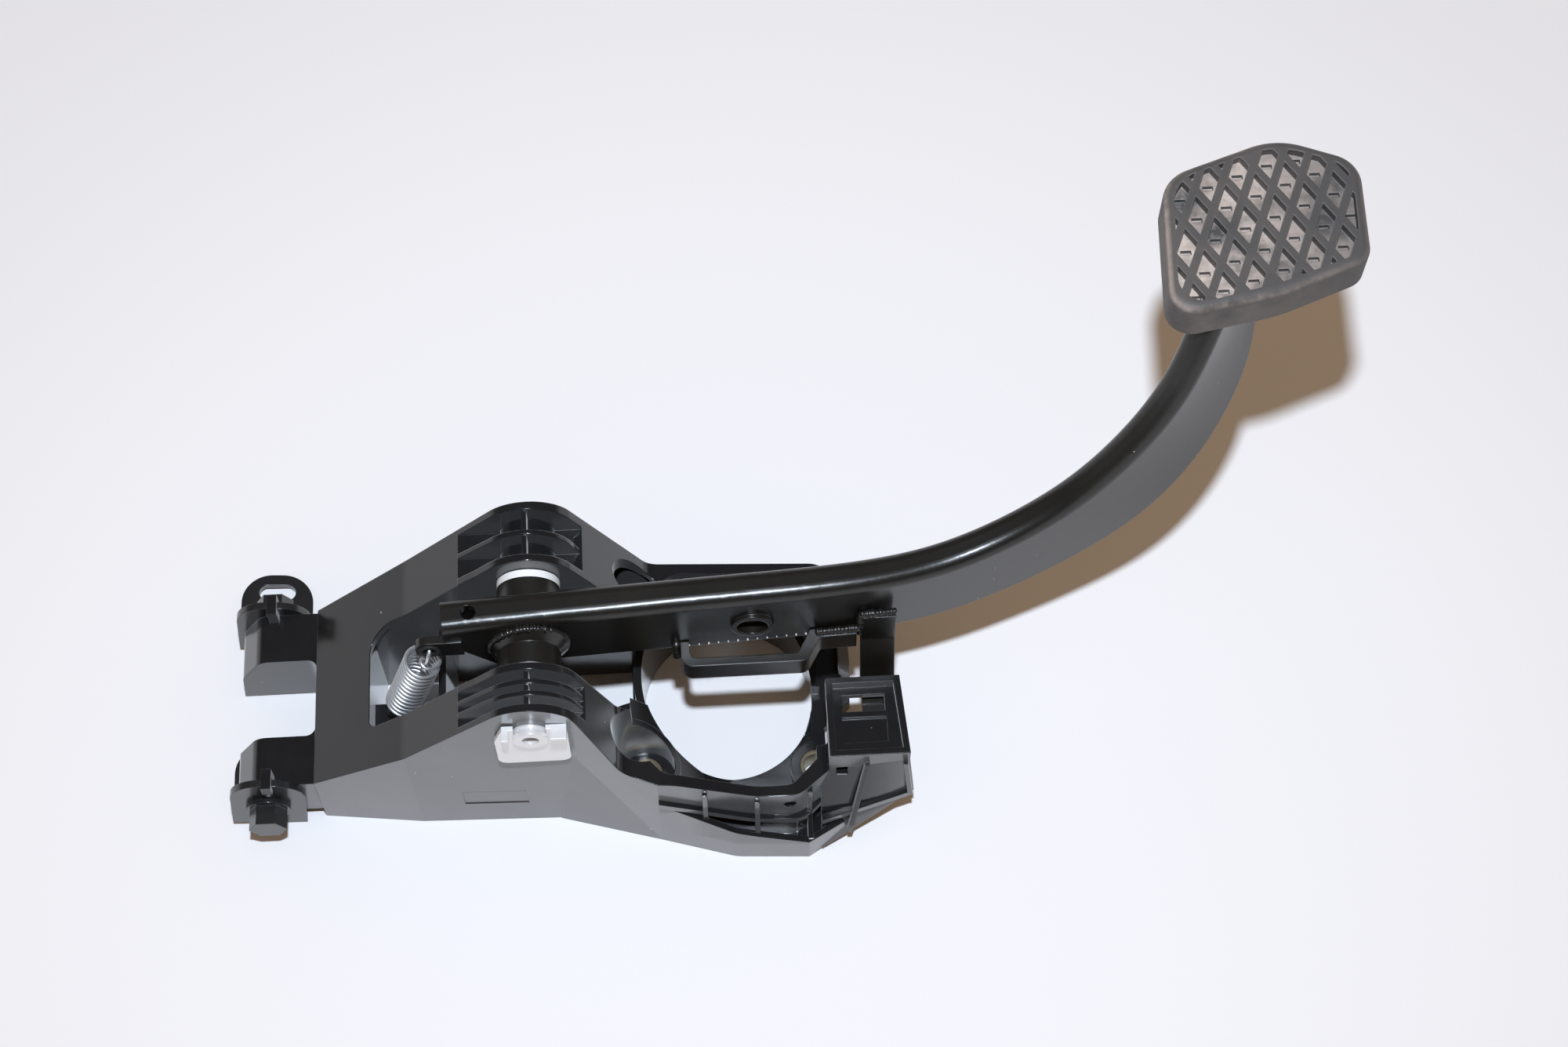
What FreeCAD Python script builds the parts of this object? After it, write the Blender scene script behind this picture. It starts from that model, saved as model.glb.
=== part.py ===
import FreeCAD, Part
import math
import os

# Brake pedal on its moulded bracket, lying on its bulkhead face.
# Frame: X along the pedal, Y along the pivot pin, Z away from the bulkhead.
# The origin is at the middle of the opening.

# Pivot
pivot_x = -64.5
pivot_z = 78.0
pin_radius = 5.8
pin_bore_radius = 2.75
pin_proud = 3.0
pin_head_radius = 8.0
pin_head_thickness = 2.4
bush_share = 0.4
running_fit = 0.05
tube_radius = 10.5
tube_wall = 2.0
bush_flange = 2.6
side_clearance = 0.25
weld_leg = 3.0
weld_gap = 0.8

# Bracket moulding
wall = 3.0
deck = 3.2
web_rib = 2.4
left_x = -142.0
left_inset = 5.5
slope_run = 34.0
slope_inset = 1.5
hump_half_width = 38.0
flare_x = -52.0
flare_toe_x = -60.0
lip_x = -25.0
lip_near_y = -48.0
near_y = -49.5
near_end_x = 22.0
holder_x = 33.0
right_x = 43.0
left_top_z = 30.0
slope_top_z = 57.5
hump_radius = 16.6
near_shoulder_x = -36.5
near_shoulder_z = 52.5
near_bend_x = -19.0
near_bend_z = 50.5
lip_flat_x = 8.0
lip_z = 39.0
far_shoulder_x = -25.5
far_shoulder_z = 42.5
far_lip_z = 36.5
right_top_z = 16.0
base_thickness = 6.0
lip_width = 4.0
slope_round = 30.0
shoulder_round = 7.0
bend_round = 12.0
lip_round = 20.0
lip_end_round = 6.0
corner_round = 10.0
mouth_round = 6.0
mouth_step = 2.0
opening_radius = 29.6
collar_wall = 2.8
collar_mid_z = 21.0
collar_slope_x = 0.3
collar_slope_y = 0.5
window_run = 21.0
window_corner = 9.0
throat_x = -52.0
throat_drop = 20.0
throat_round = 5.0
throat_end_x = -30.5
throat_end_z = 27.0
near_inner_y = -20.5
far_inner_y = 16.0
pocket_left = 23.5
pocket_right = 18.0
fin_thickness = 1.6
near_fin_count = 2
far_fin_count = 1
boss_wall = 3.3
rear_rib_run = 23.0
rear_rib_z = 44.0
label_x = -81.0
label_z = 21.0
label_size = (22.0, 11.0)
label_depth = 0.3
dimple_x = 19.2
dimple_z = 31.2
dimple_radius = 2.2

# Stud holes of the base
stud_x = 29.5
stud_y = 27.0
stud_hole_radius = 4.2
sleeve_wall = 1.3
stud_boss_wall = 3.4
stud_boss_z = 10.0
stud_way = 0.7
nut_radius = 7.5
access_x = -29.4
access_y = -29.4
access_radius = 10.0
access_wall = 2.0
access_rim = 0.8
access_left_z = 46.0
access_fall = 1.2

# Ledge and gussets of the near side
ledge_left_z = 33.0
ledge_mid_z = 19.5
ledge_right_z = 14.0
ledge_wall = 2.2
ledge_floor = 4.0
ledge_out_x = 0.5
ledge_out_y = -55.6
ledge_end_x = 25.4
ledge_end_y = -57.0
ledge_tip_x = 38.0
ledge_tip_y = -50.0
bar_proud = 1.8
bar_height = 3.4
bar_left_z = 38.0
bar_mid_z = 22.5
bar_right_z = 21.0
gusset_places = (-9.5, 8.0, 26.0)
gusset_rise = 8.0
gusset_drop = 1.5

# Switch holder
holder_width = 27.0
holder_taper = 1.8
holder_near_y = -40.5
holder_far_y = -12.0
holder_top_z = 50.0
holder_low_z = 16.0
holder_wall = 2.2
holder_recess = 3.6
holder_panel = 2.2
switch_slot = (14.5, 6.0)
switch_pocket = (15.0, 9.0)
switch_pocket_depth = 1.2
holder_margin = 3.0
holder_hole = 4.0
holder_flare = 2.4

# Feet and their angle brackets
foot_length = 29.7
foot_draft = 1.7
foot_inset = 0.5
foot_width = 17.8
foot_blend = 4.0
foot_top_z = 28.8
foot_chamfer_x = 8.0
foot_chamfer_z = 13.0
foot_corner = 3.0
foot_wall = 3.0
foot_clearance = 0.3
far_foot_low_z = 1.0
angle_thickness = 2.5
angle_width = 25.5
angle_top = 17.5
angle_bottom = 15.6
angle_corner = 11.0
angle_tilt = 7.0
leg_length = 28.0
slot_length = 13.0
slot_radius = 3.0
slot_inset = 7.0
bolt_inset = 12.4
leg_lift = 1.5
bolt_radius = 3.0
bolt_hole_radius = 3.3
bolt_flange_radius = 7.6
bolt_flange = 1.8
bolt_flats = 11.2
bolt_head = 8.8
bolt_length = 15.0
nut_flats = 10.0
nut_height = 5.0
latch_width = 3.4
latch_reach = 1.4
latch_drop = 3.5
latch_thickness = 1.6

# Retaining plate of the pin
plate_thickness = 1.6
plate_width = 24.0
plate_rise = 6.0
plate_drop = 21.0
plate_shoulder = 9.0
plate_notch = 3.0
plate_corner = 3.5
plate_groove = 0.6
plate_lip = 3.6
plate_lip_gap = 1.5
plate_room = 1.0

# Pedal arm
sheet = 3.0
arm_width = 12.0
arm_end_width = 10.5
arm_depth = 30.0
arm_end_depth = 41.0
arm_bend = 4.0
arm_above_pivot = 15.5
tail_cut_x = 16.0
tail_cut_rise = 6.0
tail_hole_radius = 2.5
tail_hole_run = 9.0
pushrod_x = 9.2
pushrod_drop = 2.2
pushrod_radius = 5.2
pushrod_collar = 1.9
pushrod_collar_out = 1.2
arm_stations = 18
# Places of the arm's web: x, y and the share of the rise from the pivot end to the pad
arm_path = (
    (-92.0, -1.7, 0.0),
    (-33.0, 1.6, 0.0),
    (10.0, 3.8, 0.0),
    (47.0, 6.5, -0.004),
    (70.0, 11.0, -0.012),
    (88.0, 16.0, 0.026),
    (109.0, 22.3, 0.162),
    (128.0, 29.0, 0.409),
    (143.0, 37.7, 0.682),
    (150.5, 45.0, 0.896),
    (156.0, 53.0, 1.084),
)

# Strap and switch plate on the near side of the arm
strap_sheet = 3.0
strap_height = 10.0
strap_drop = 21.0
strap_left_x = -15.0
strap_right_x = 27.0
strap_reach = 6.1
strap_bend = 4.0
strap_tail_x = 44.0
strap_tail_gap = 0.4
switch_plate_x = 45.5
switch_plate_width = 11.5
switch_plate_drop = 2.0
switch_bend_drop = 18.0
switch_plate_lean = 7.0
switch_plate_round = 4.0
switch_gap = 3.2
switch_plate_reach = 23.7
switch_plate_room = 1.2

# Return spring
tab_x = -97.0
tab_rise = 2.0
tab_radius = 4.6
tab_root = 6.0
grommet_bore_radius = 2.2
grommet_wall = 0.9
grommet_lip = 0.6
wire_radius = 0.85
coil_radius = 5.6
coil_turns = 17
coil_gap = 0.1
spring_clearance = 0.15
anchor_run = 9.0
anchor_y = -11.5
anchor_z = 39.0
anchor_drop = 6.5
anchor_ledge = 3.0
anchor_reach = 6.0
anchor_pin_radius = 1.5
anchor_pin_end = 2.5

# Pad
pad_top_z = 185.0
pad_thickness = 14.2
pad_tread = 3.0
pad_edge_round = 3.0
pad_plate_thickness = 3.0
pad_plate_inset = 3.5
pad_clearance = 0.3
tread_slot = (3.4, 1.6)
tread_slot_depth = 1.6
tread_slot_room = 20.0
tread_x = 177.3
tread_y = 88.2
tread_rib = 2.5
tread_leans = (-58.5, 67.5)
tread_pitches = (10.3, 7.6)
tread_rows = 9
tread_margin = 3.2
pad_corners = (
    (140.2, 42.8, 8.0),
    (176.0, 49.4, 60.0),
    (204.8, 60.6, 8.0),
    (206.4, 97.0, 11.0),
    (181.0, 107.4, 24.0),
    (143.4, 94.0, 13.0),
)

# Values worked out from the sizes above
pin_axis = FreeCAD.Vector(0, 1, 0)
deep = pad_top_z + hump_half_width * 3
skin = wall / 6
over = wall / 3
slope_x = left_x + slope_run
slope_half_width = hump_half_width - slope_inset
left_half_width = hump_half_width - left_inset
window_x = left_x + window_run
rear_rib_x = window_x + rear_rib_run
pocket_floor_z = pivot_z
throat_z = pivot_z - throat_drop
foot_left_x = left_x - foot_length
foot_outer_y = left_half_width - foot_inset
foot_inner_y = foot_outer_y - foot_width
bolt_x = foot_left_x + bolt_inset
bolt_z = angle_bottom + leg_lift
plate_top_z = pivot_z + plate_rise
plate_low_z = pivot_z - plate_drop
panel_top_z = holder_top_z - holder_recess
panel_low_z = panel_top_z - holder_panel
strap_low_z = pivot_z - strap_drop
pushrod_z = pivot_z - pushrod_drop
tab_z = pivot_z + tab_rise
anchor_x = window_x + anchor_run
arm_top_z = pivot_z + arm_above_pivot
bush_bore_radius = pin_radius + running_fit
tube_bore_radius = tube_radius - tube_wall
bush_near_y = near_inner_y + side_clearance
bush_far_y = far_inner_y - side_clearance
tube_near_y = bush_near_y + bush_flange
tube_far_y = bush_far_y - bush_flange
bush_length = (tube_far_y - tube_near_y) * bush_share
pad_low_z = pad_top_z - pad_thickness
pad_plate_low_z = pad_low_z - pad_clearance
pad_plate_top_z = pad_plate_low_z + pad_plate_thickness
sleeve_radius = stud_hole_radius + sleeve_wall
arm_rise = pad_plate_low_z - arm_top_z
arm_points = [(x, y, arm_top_z + arm_rise * share) for x, y, share in arm_path]


def vec(x, y, z):
    return FreeCAD.Vector(x, y, z)


def rounded(points, place):
    """Closed face from corner points (u, v, radius), with tangent arcs at the corners."""
    count = len(points)
    starts = []
    for i, point in enumerate(points):
        before = points[i - 1]
        after = points[(i + 1) % count]
        radius = point[2] if len(point) > 2 else 0.0
        if radius <= 0:
            starts.append((point[:2], None, point[:2]))
            continue
        into = (before[0] - point[0], before[1] - point[1])
        out = (after[0] - point[0], after[1] - point[1])
        len_in = math.hypot(*into)
        len_out = math.hypot(*out)
        into = (into[0] / len_in, into[1] / len_in)
        out = (out[0] / len_out, out[1] / len_out)
        half = math.acos(max(-1.0, min(1.0, into[0] * out[0] + into[1] * out[1]))) / 2
        reach = radius / math.tan(half)
        mid_dir = (into[0] + out[0], into[1] + out[1])
        mid_len = math.hypot(*mid_dir)
        far = radius / math.sin(half)
        centre = (point[0] + mid_dir[0] / mid_len * far, point[1] + mid_dir[1] / mid_len * far)
        start = (point[0] + into[0] * reach, point[1] + into[1] * reach)
        end = (point[0] + out[0] * reach, point[1] + out[1] * reach)
        near = (centre[0] - mid_dir[0] / mid_len * radius, centre[1] - mid_dir[1] / mid_len * radius)
        starts.append((start, near, end))
    edges = []
    for i, (start, near, end) in enumerate(starts):
        if near is not None:
            edges.append(Part.Arc(place(*start), place(*near), place(*end)).toShape())
        following = starts[(i + 1) % count][0]
        if math.hypot(following[0] - end[0], following[1] - end[1]) > 1e-6:
            edges.append(Part.LineSegment(place(*end), place(*following)).toShape())
    return Part.Face(Part.Wire(edges))


def plan(points, low, high):
    """Upright prism over an outline in X and Y."""
    return rounded(points, lambda u, v: vec(u, v, low)).extrude(vec(0, 0, high - low))


def side(points, start, end):
    """Prism along Y over an outline in X and Z."""
    return rounded(points, lambda u, v: vec(u, start, v)).extrude(vec(0, end - start, 0))


def across(points, start, end):
    """Prism along X over an outline in Y and Z."""
    return rounded(points, lambda u, v: vec(start, u, v)).extrude(vec(end - start, 0, 0))


def block(x0, x1, y0, y1, z0, z1):
    return Part.makeBox(x1 - x0, y1 - y0, z1 - z0, vec(x0, y0, z0))


def rod(x, z, radius, y0, y1):
    """Cylinder along the pivot pin's direction."""
    return Part.makeCylinder(radius, y1 - y0, vec(x, y0, z), pin_axis)


def post(x, y, radius, z0, z1):
    return Part.makeCylinder(radius, z1 - z0, vec(x, y, z0))


def hexagon_rod(x, z, flats, y0, y1):
    corner = flats / math.sqrt(3)
    points = [
        (x + corner * math.cos(math.radians(60 * i)), z + corner * math.sin(math.radians(60 * i)))
        for i in range(6)
    ]
    return side(points, y0, y1)


def fuse(shapes):
    return shapes[0].multiFuse(shapes[1:]).removeSplitter()


def tangent_apex(left, right, radius):
    """Corner where two lines from outside points meet, both touching a circle about the pivot."""
    lines = []
    for (px, pz), turn in ((left, 1), (right, -1)):
        dx = pivot_x - px
        dz = pivot_z - pz
        angle = math.atan2(dz, dx) + turn * math.asin(radius / math.hypot(dx, dz))
        lines.append((px, pz, math.cos(angle), math.sin(angle)))
    (ax, az, au, av), (bx, bz, bu, bv) = lines
    run = ((bx - ax) * bv - (bz - az) * bu) / (au * bv - av * bu)
    return ax + au * run, az + av * run


def profile(far, low, inset):
    """Side outline of one half of the bracket, drawn in by a thickness."""
    if far:
        shoulder = (far_shoulder_x, far_shoulder_z)
        after = [(holder_x, far_lip_z, lip_end_round)]
    else:
        shoulder = (near_shoulder_x, near_shoulder_z)
        after = [
            (near_bend_x, near_bend_z, bend_round),
            (lip_flat_x, lip_z, lip_round),
            (holder_x, lip_z, lip_end_round),
        ]
    apex = tangent_apex((slope_x, slope_top_z), shoulder, hump_radius)
    points = [
        (left_x, low),
        (left_x, left_top_z),
        (slope_x, slope_top_z, slope_round),
        (apex[0], apex[1], hump_radius),
        (shoulder[0], shoulder[1], shoulder_round),
    ]
    points += after
    points += [(right_x + lip_width, right_top_z), (right_x + lip_width, low)]
    start = 0.0 if far else -deep
    face = rounded(points, lambda u, v: vec(u, start, v))
    if inset > 0:
        face = face.makeOffset2D(-inset)
    return face.extrude(vec(0, deep, 0))


def body_outline(inset):
    """Plan outline of the bracket's main shell, drawn in by a wall."""
    return [
        (left_x + inset, -left_half_width + inset),
        (slope_x, -slope_half_width + inset),
        (flare_x, -hump_half_width + inset),
        (lip_x + inset * 0.2, lip_near_y + inset),
        (near_end_x - inset * 0.4, near_y + inset, corner_round - inset),
        (holder_x - inset, holder_near_y + inset * 0.3),
        (holder_x - inset, holder_far_y + inset * 0.4),
        (right_x - inset, holder_far_y + right_x - holder_x),
        (right_x - inset, hump_half_width - inset),
        (flare_x, hump_half_width - inset),
        (slope_x, slope_half_width - inset),
        (left_x + inset, left_half_width - inset),
    ]


def shell():
    halves = []
    for far in (False, True):
        outer = plan(body_outline(0.0), 0.0, deep).common(profile(far, 0.0, 0.0))
        inner = plan(body_outline(wall), -over, deep).common(profile(far, -deep, deck))
        halves.append(outer.cut(inner))
    return halves[0].fuse(halves[1]).removeSplitter()


def toe():
    """Leaning foot of the near wall, from the hump's wall out to the lip's line."""
    tip = vec(flare_toe_x, -hump_half_width, 0)
    lip = vec(lip_x, lip_near_y, 0)
    inside = vec(flare_x, wall / 2 - hump_half_width, 0)
    top = vec(flare_x, -hump_half_width, plate_low_z - plate_room)
    faces = []
    for corners in ((tip, lip, inside), (tip, lip, top), (lip, inside, top), (inside, tip, top)):
        faces.append(Part.Face(Part.makePolygon(list(corners) + [corners[0]])))
    solid = Part.Solid(Part.Shell(faces))
    if solid.Volume < 0:
        solid.reverse()
    return solid


def well_outline():
    """Mouth of the base, inside its lip."""
    edge = throat_end_x - wall
    return [
        (edge, near_inner_y),
        (edge, access_y - wall),
        (access_x + access_radius * 0.7, lip_near_y + lip_width, mouth_round),
        (lip_flat_x, near_y + lip_width, mouth_round),
        (near_end_x - mouth_step, near_y + lip_width, mouth_round),
        (holder_x - lip_width, holder_near_y + lip_width),
        (holder_x - lip_width, holder_far_y + mouth_step),
        (right_x - lip_width, holder_far_y + right_x - holder_x + mouth_step),
        (right_x - lip_width, hump_half_width - lip_width, mouth_round),
        (far_shoulder_x + lip_width, hump_half_width - lip_width, mouth_round),
        (far_shoulder_x + lip_width, far_inner_y),
        (edge, far_inner_y),
    ]


def under_profile(shape):
    near = shape.common(profile(False, -over, skin))
    far = shape.common(profile(True, -over, skin))
    kept = [s for s in (near, far) if s.Solids]
    return kept[0] if len(kept) == 1 else kept[0].fuse(kept[1]).removeSplitter()


def inner_walls():
    walls = []
    for start, end in ((near_inner_y - web_rib, near_inner_y), (far_inner_y, far_inner_y + web_rib)):
        walls.append(block(window_x - wall, throat_end_x, start, end, 0.0, deep))
    walls.append(block(window_x - wall, window_x, near_inner_y, far_inner_y, 0.0, deep))
    rib = block(rear_rib_x, rear_rib_x + web_rib, near_inner_y, far_inner_y, 0.0, rear_rib_z)
    walls.append(rib)
    middle = (near_inner_y + far_inner_y) / 2
    walls.append(block(window_x, rear_rib_x, middle, middle + web_rib, 0.0, wall * 2))
    return [under_profile(w) for w in walls]


def throat():
    """Sloping floor between the housings, from the hump down to the opening's collar."""
    fall = math.hypot(1, (throat_z - throat_end_z) / (throat_end_x - throat_x))
    points = [
        (throat_x, throat_z),
        (throat_end_x, throat_end_z, throat_round),
        (throat_end_x, 0.0),
        (throat_end_x - wall, 0.0),
        (throat_end_x - wall, throat_end_z + wall * (fall - 1) - deck * fall, throat_round - skin),
        (throat_x, throat_z - deck * fall),
    ]
    return side(points, near_inner_y - web_rib, far_inner_y + web_rib)


def fin(y0, y1):
    """Arched cross plate of a hump, falling to the pocket's floor at both ends."""
    left = pivot_x - pocket_left
    right = pivot_x + pocket_right
    radius = hump_radius - skin
    end_z = pocket_floor_z + skin
    apex = tangent_apex((left, end_z), (right, end_z - web_rib), radius)
    points = [
        (left, pocket_floor_z - web_rib),
        (left, end_z),
        (apex[0], apex[1], radius),
        (right, end_z - web_rib),
        (right, pocket_floor_z - web_rib * 1.5),
    ]
    return side(points, y0, y1)


def housing(inner, outer, count):
    """Fins, boss and lengthwise rib of one hump, between its inner face and its outer wall."""
    turn = 1 if outer > inner else -1
    inner_end = inner + turn * web_rib
    outer_end = outer - turn * wall
    low, high = sorted((inner_end, outer_end))
    left = pivot_x - pocket_left
    right = pivot_x + pocket_right
    pocket = block(left, right, low, high, pocket_floor_z, deep)
    pieces = []
    span = (outer_end - inner_end) / (count + 1)
    for i in range(count):
        middle = inner_end + span * (i + 1)
        pieces.append(fin(middle - fin_thickness / 2, middle + fin_thickness / 2))
    pieces.append(fin(*sorted((inner, inner_end))))
    pieces.append(under_profile(block(left, right, low, high, pocket_floor_z - web_rib, pocket_floor_z)))
    pieces.append(under_profile(block(left - web_rib, left, low, high, pocket_floor_z - web_rib, deep)))
    rib = block(pivot_x - fin_thickness / 2, pivot_x + fin_thickness / 2, low, high, pocket_floor_z, deep)
    pieces.append(rib.common(rod(pivot_x, pivot_z, hump_radius - skin * 2, low, high)))
    pieces.append(rod(pivot_x, pivot_z, pin_radius + boss_wall, low, high))
    return pocket, pieces


def base():
    """Base plate, sloping collar round the opening, stud bosses and the access wells of the left studs."""
    outline = plan(body_outline(skin), 0.0, base_thickness)
    plate = outline.common(block(throat_end_x - wall, deep, -deep, deep, 0.0, base_thickness))
    apron = plan([
        (throat_end_x - wall, near_inner_y / 2),
        (throat_end_x - wall, access_y - access_radius),
        (access_x, lip_near_y + wall),
        (lip_flat_x, near_y + wall / 2),
        (lip_flat_x, near_inner_y),
        (-lip_flat_x, near_inner_y / 2),
    ], 0.0, deep)
    collar = post(0, 0, opening_radius + collar_wall, 0.0, deep)
    above = Part.makeBox(deep * 2, deep * 2, deep * 2, vec(-deep, -deep, 0))
    slope = vec(collar_slope_x, -collar_slope_y, 1)
    above.Placement = FreeCAD.Placement(vec(0, 0, collar_mid_z), FreeCAD.Rotation(vec(0, 0, 1), slope))
    tube = post(access_x, access_y, access_radius + access_wall, 0.0, deep)
    cap = Part.makeBox(deep * 2, deep * 2, deep * 2, vec(-deep, -deep, 0))
    rim = vec(access_x - access_radius, access_y, access_left_z)
    cap.Placement = FreeCAD.Placement(rim, FreeCAD.Rotation(vec(0, 0, 1), vec(access_fall, 0, 1)))
    under_deck = tube.common(block(-deep, throat_end_x - wall + skin, -deep, deep, 0.0, deep))
    tube = under_profile(tube.cut(cap).fuse(under_deck))
    cap.translate(vec(0, 0, -access_rim))
    pieces = [plate, collar.cut(above), tube, under_profile(apron.cut(cap))]
    for x in (-stud_x, stud_x):
        for y in (-stud_y, stud_y):
            pieces.append(post(x, y, sleeve_radius + stud_boss_wall, 0.0, stud_boss_z))
    pieces.append(under_profile(post(-stud_x, stud_y, nut_radius + access_wall, 0.0, deep)))
    return pieces


def along(x, places):
    """Height at x on a line of (x, height) places."""
    for (x0, z0), (x1, z1) in zip(places, places[1:]):
        if x <= x1:
            return z0 + (z1 - z0) * (x - x0) / (x1 - x0)
    return places[-1][1]


def skirt_low(x):
    """Lower edge of the near side right of the ledge, rising to the switch holder."""
    end = holder_x + holder_width + holder_flare
    return holder_low_z * (x - ledge_end_x) / (end - ledge_end_x)


def skirt_y(x):
    """Plan line of that lower edge."""
    end = holder_x + holder_width + holder_flare
    return ledge_end_y + (holder_near_y - ledge_end_y) * (x - ledge_end_x) / (end - ledge_end_x)


def rail(start, end, width, depth):
    """Straight rib between two places of its outer face, its depth measured along +Y."""
    wires = []
    for x, y, z in (start, end):
        x0 = x - width / 2
        x1 = x + width / 2
        corners = [(x0, y), (x1, y), (x1, y + depth), (x0, y + depth)]
        wires.append(rounded(corners, lambda u, v, z=z: vec(u, v, z)).OuterWire)
    return Part.makeLoft(wires, True, True)


def ledge():
    """Stepped-out foot of the near side: outer band with pockets behind it, gussets and a bar on the wall."""
    wall_line = ((lip_x, lip_near_y), (near_end_x, near_y), (holder_x, holder_near_y))
    band_line = (
        (lip_x, lip_near_y),
        (ledge_out_x, ledge_out_y),
        (ledge_end_x, ledge_end_y),
        (ledge_tip_x, ledge_tip_y),
    )
    top_line = ((lip_x, ledge_left_z), (lip_flat_x, ledge_mid_z), (ledge_end_x, ledge_right_z))
    outline = [
        (lip_x, lip_near_y),
        (ledge_out_x, ledge_out_y, lip_round),
        (ledge_end_x, ledge_end_y),
        (ledge_tip_x, ledge_tip_y),
        (holder_x, holder_near_y),
        (near_end_x, near_y + wall),
        (lip_x, lip_near_y + wall),
    ]
    slab = [
        (lip_x, 0.0),
        (lip_x, ledge_left_z),
        (lip_flat_x, ledge_mid_z, slope_round),
        (ledge_end_x, ledge_right_z),
        (ledge_tip_x, ledge_right_z),
        (ledge_tip_x, skirt_low(ledge_tip_x)),
        (ledge_end_x, 0.0),
    ]
    band = plan(outline, 0.0, deep).common(side(slab, -deep, deep))
    stops = (lip_x + wall * 2,) + gusset_places
    ends = gusset_places + (ledge_tip_x - wall * 2,)
    for start, end in zip(stops, ends):
        x0 = start + fin_thickness / 2
        x1 = end - fin_thickness / 2
        middle = [x for x in (ledge_out_x, near_end_x, ledge_end_x) if x0 < x < x1]
        places = [x0] + middle + [x1]
        outer = [(x, along(x, band_line) + ledge_wall) for x in places]
        inner = [(x, along(x, wall_line) + skin) for x in places]
        if all(o[1] < i[1] - over for o, i in zip(outer, inner)):
            band = band.cut(plan(outer + inner[::-1], ledge_floor, deep))
        else:
            outer = [outer[-1], inner[-1], inner[0]]
            band = band.cut(plan(outer, ledge_floor, deep))
    bar = [
        (lip_x, bar_left_z),
        (lip_flat_x, bar_mid_z, slope_round),
        (ledge_tip_x, bar_right_z),
        (ledge_tip_x, bar_right_z - bar_height),
        (lip_flat_x, bar_mid_z - bar_height, slope_round),
        (lip_x, bar_left_z - bar_height),
    ]
    strip = [
        (lip_x, lip_near_y - bar_proud),
        (near_end_x + bar_proud, near_y - bar_proud, corner_round),
        (holder_x + bar_proud, holder_near_y),
        (near_end_x, near_y + over),
        (lip_x, lip_near_y + over),
    ]
    pieces = [band, plan(strip, 0.0, deep).common(side(bar, -deep, deep))]
    lip_line = (
        (near_shoulder_x, near_shoulder_z),
        (near_bend_x, near_bend_z),
        (lip_flat_x, lip_z),
        (holder_x, lip_z),
    )
    for x in gusset_places:
        wall_y = along(x, wall_line)
        foot_y = along(x, band_line)
        low = along(x, top_line)
        high = along(x, lip_line) - gusset_drop
        gusset = [
            (wall_y + over, ledge_floor),
            (foot_y + ledge_wall / 2, ledge_floor),
            (foot_y + ledge_wall / 2, low),
            (wall_y - bar_proud, min(low + gusset_rise, high)),
            (wall_y - bar_proud, high),
            (wall_y + over, high),
        ]
        pieces.append(across(gusset, x - fin_thickness / 2, x + fin_thickness / 2))
    return pieces


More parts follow.
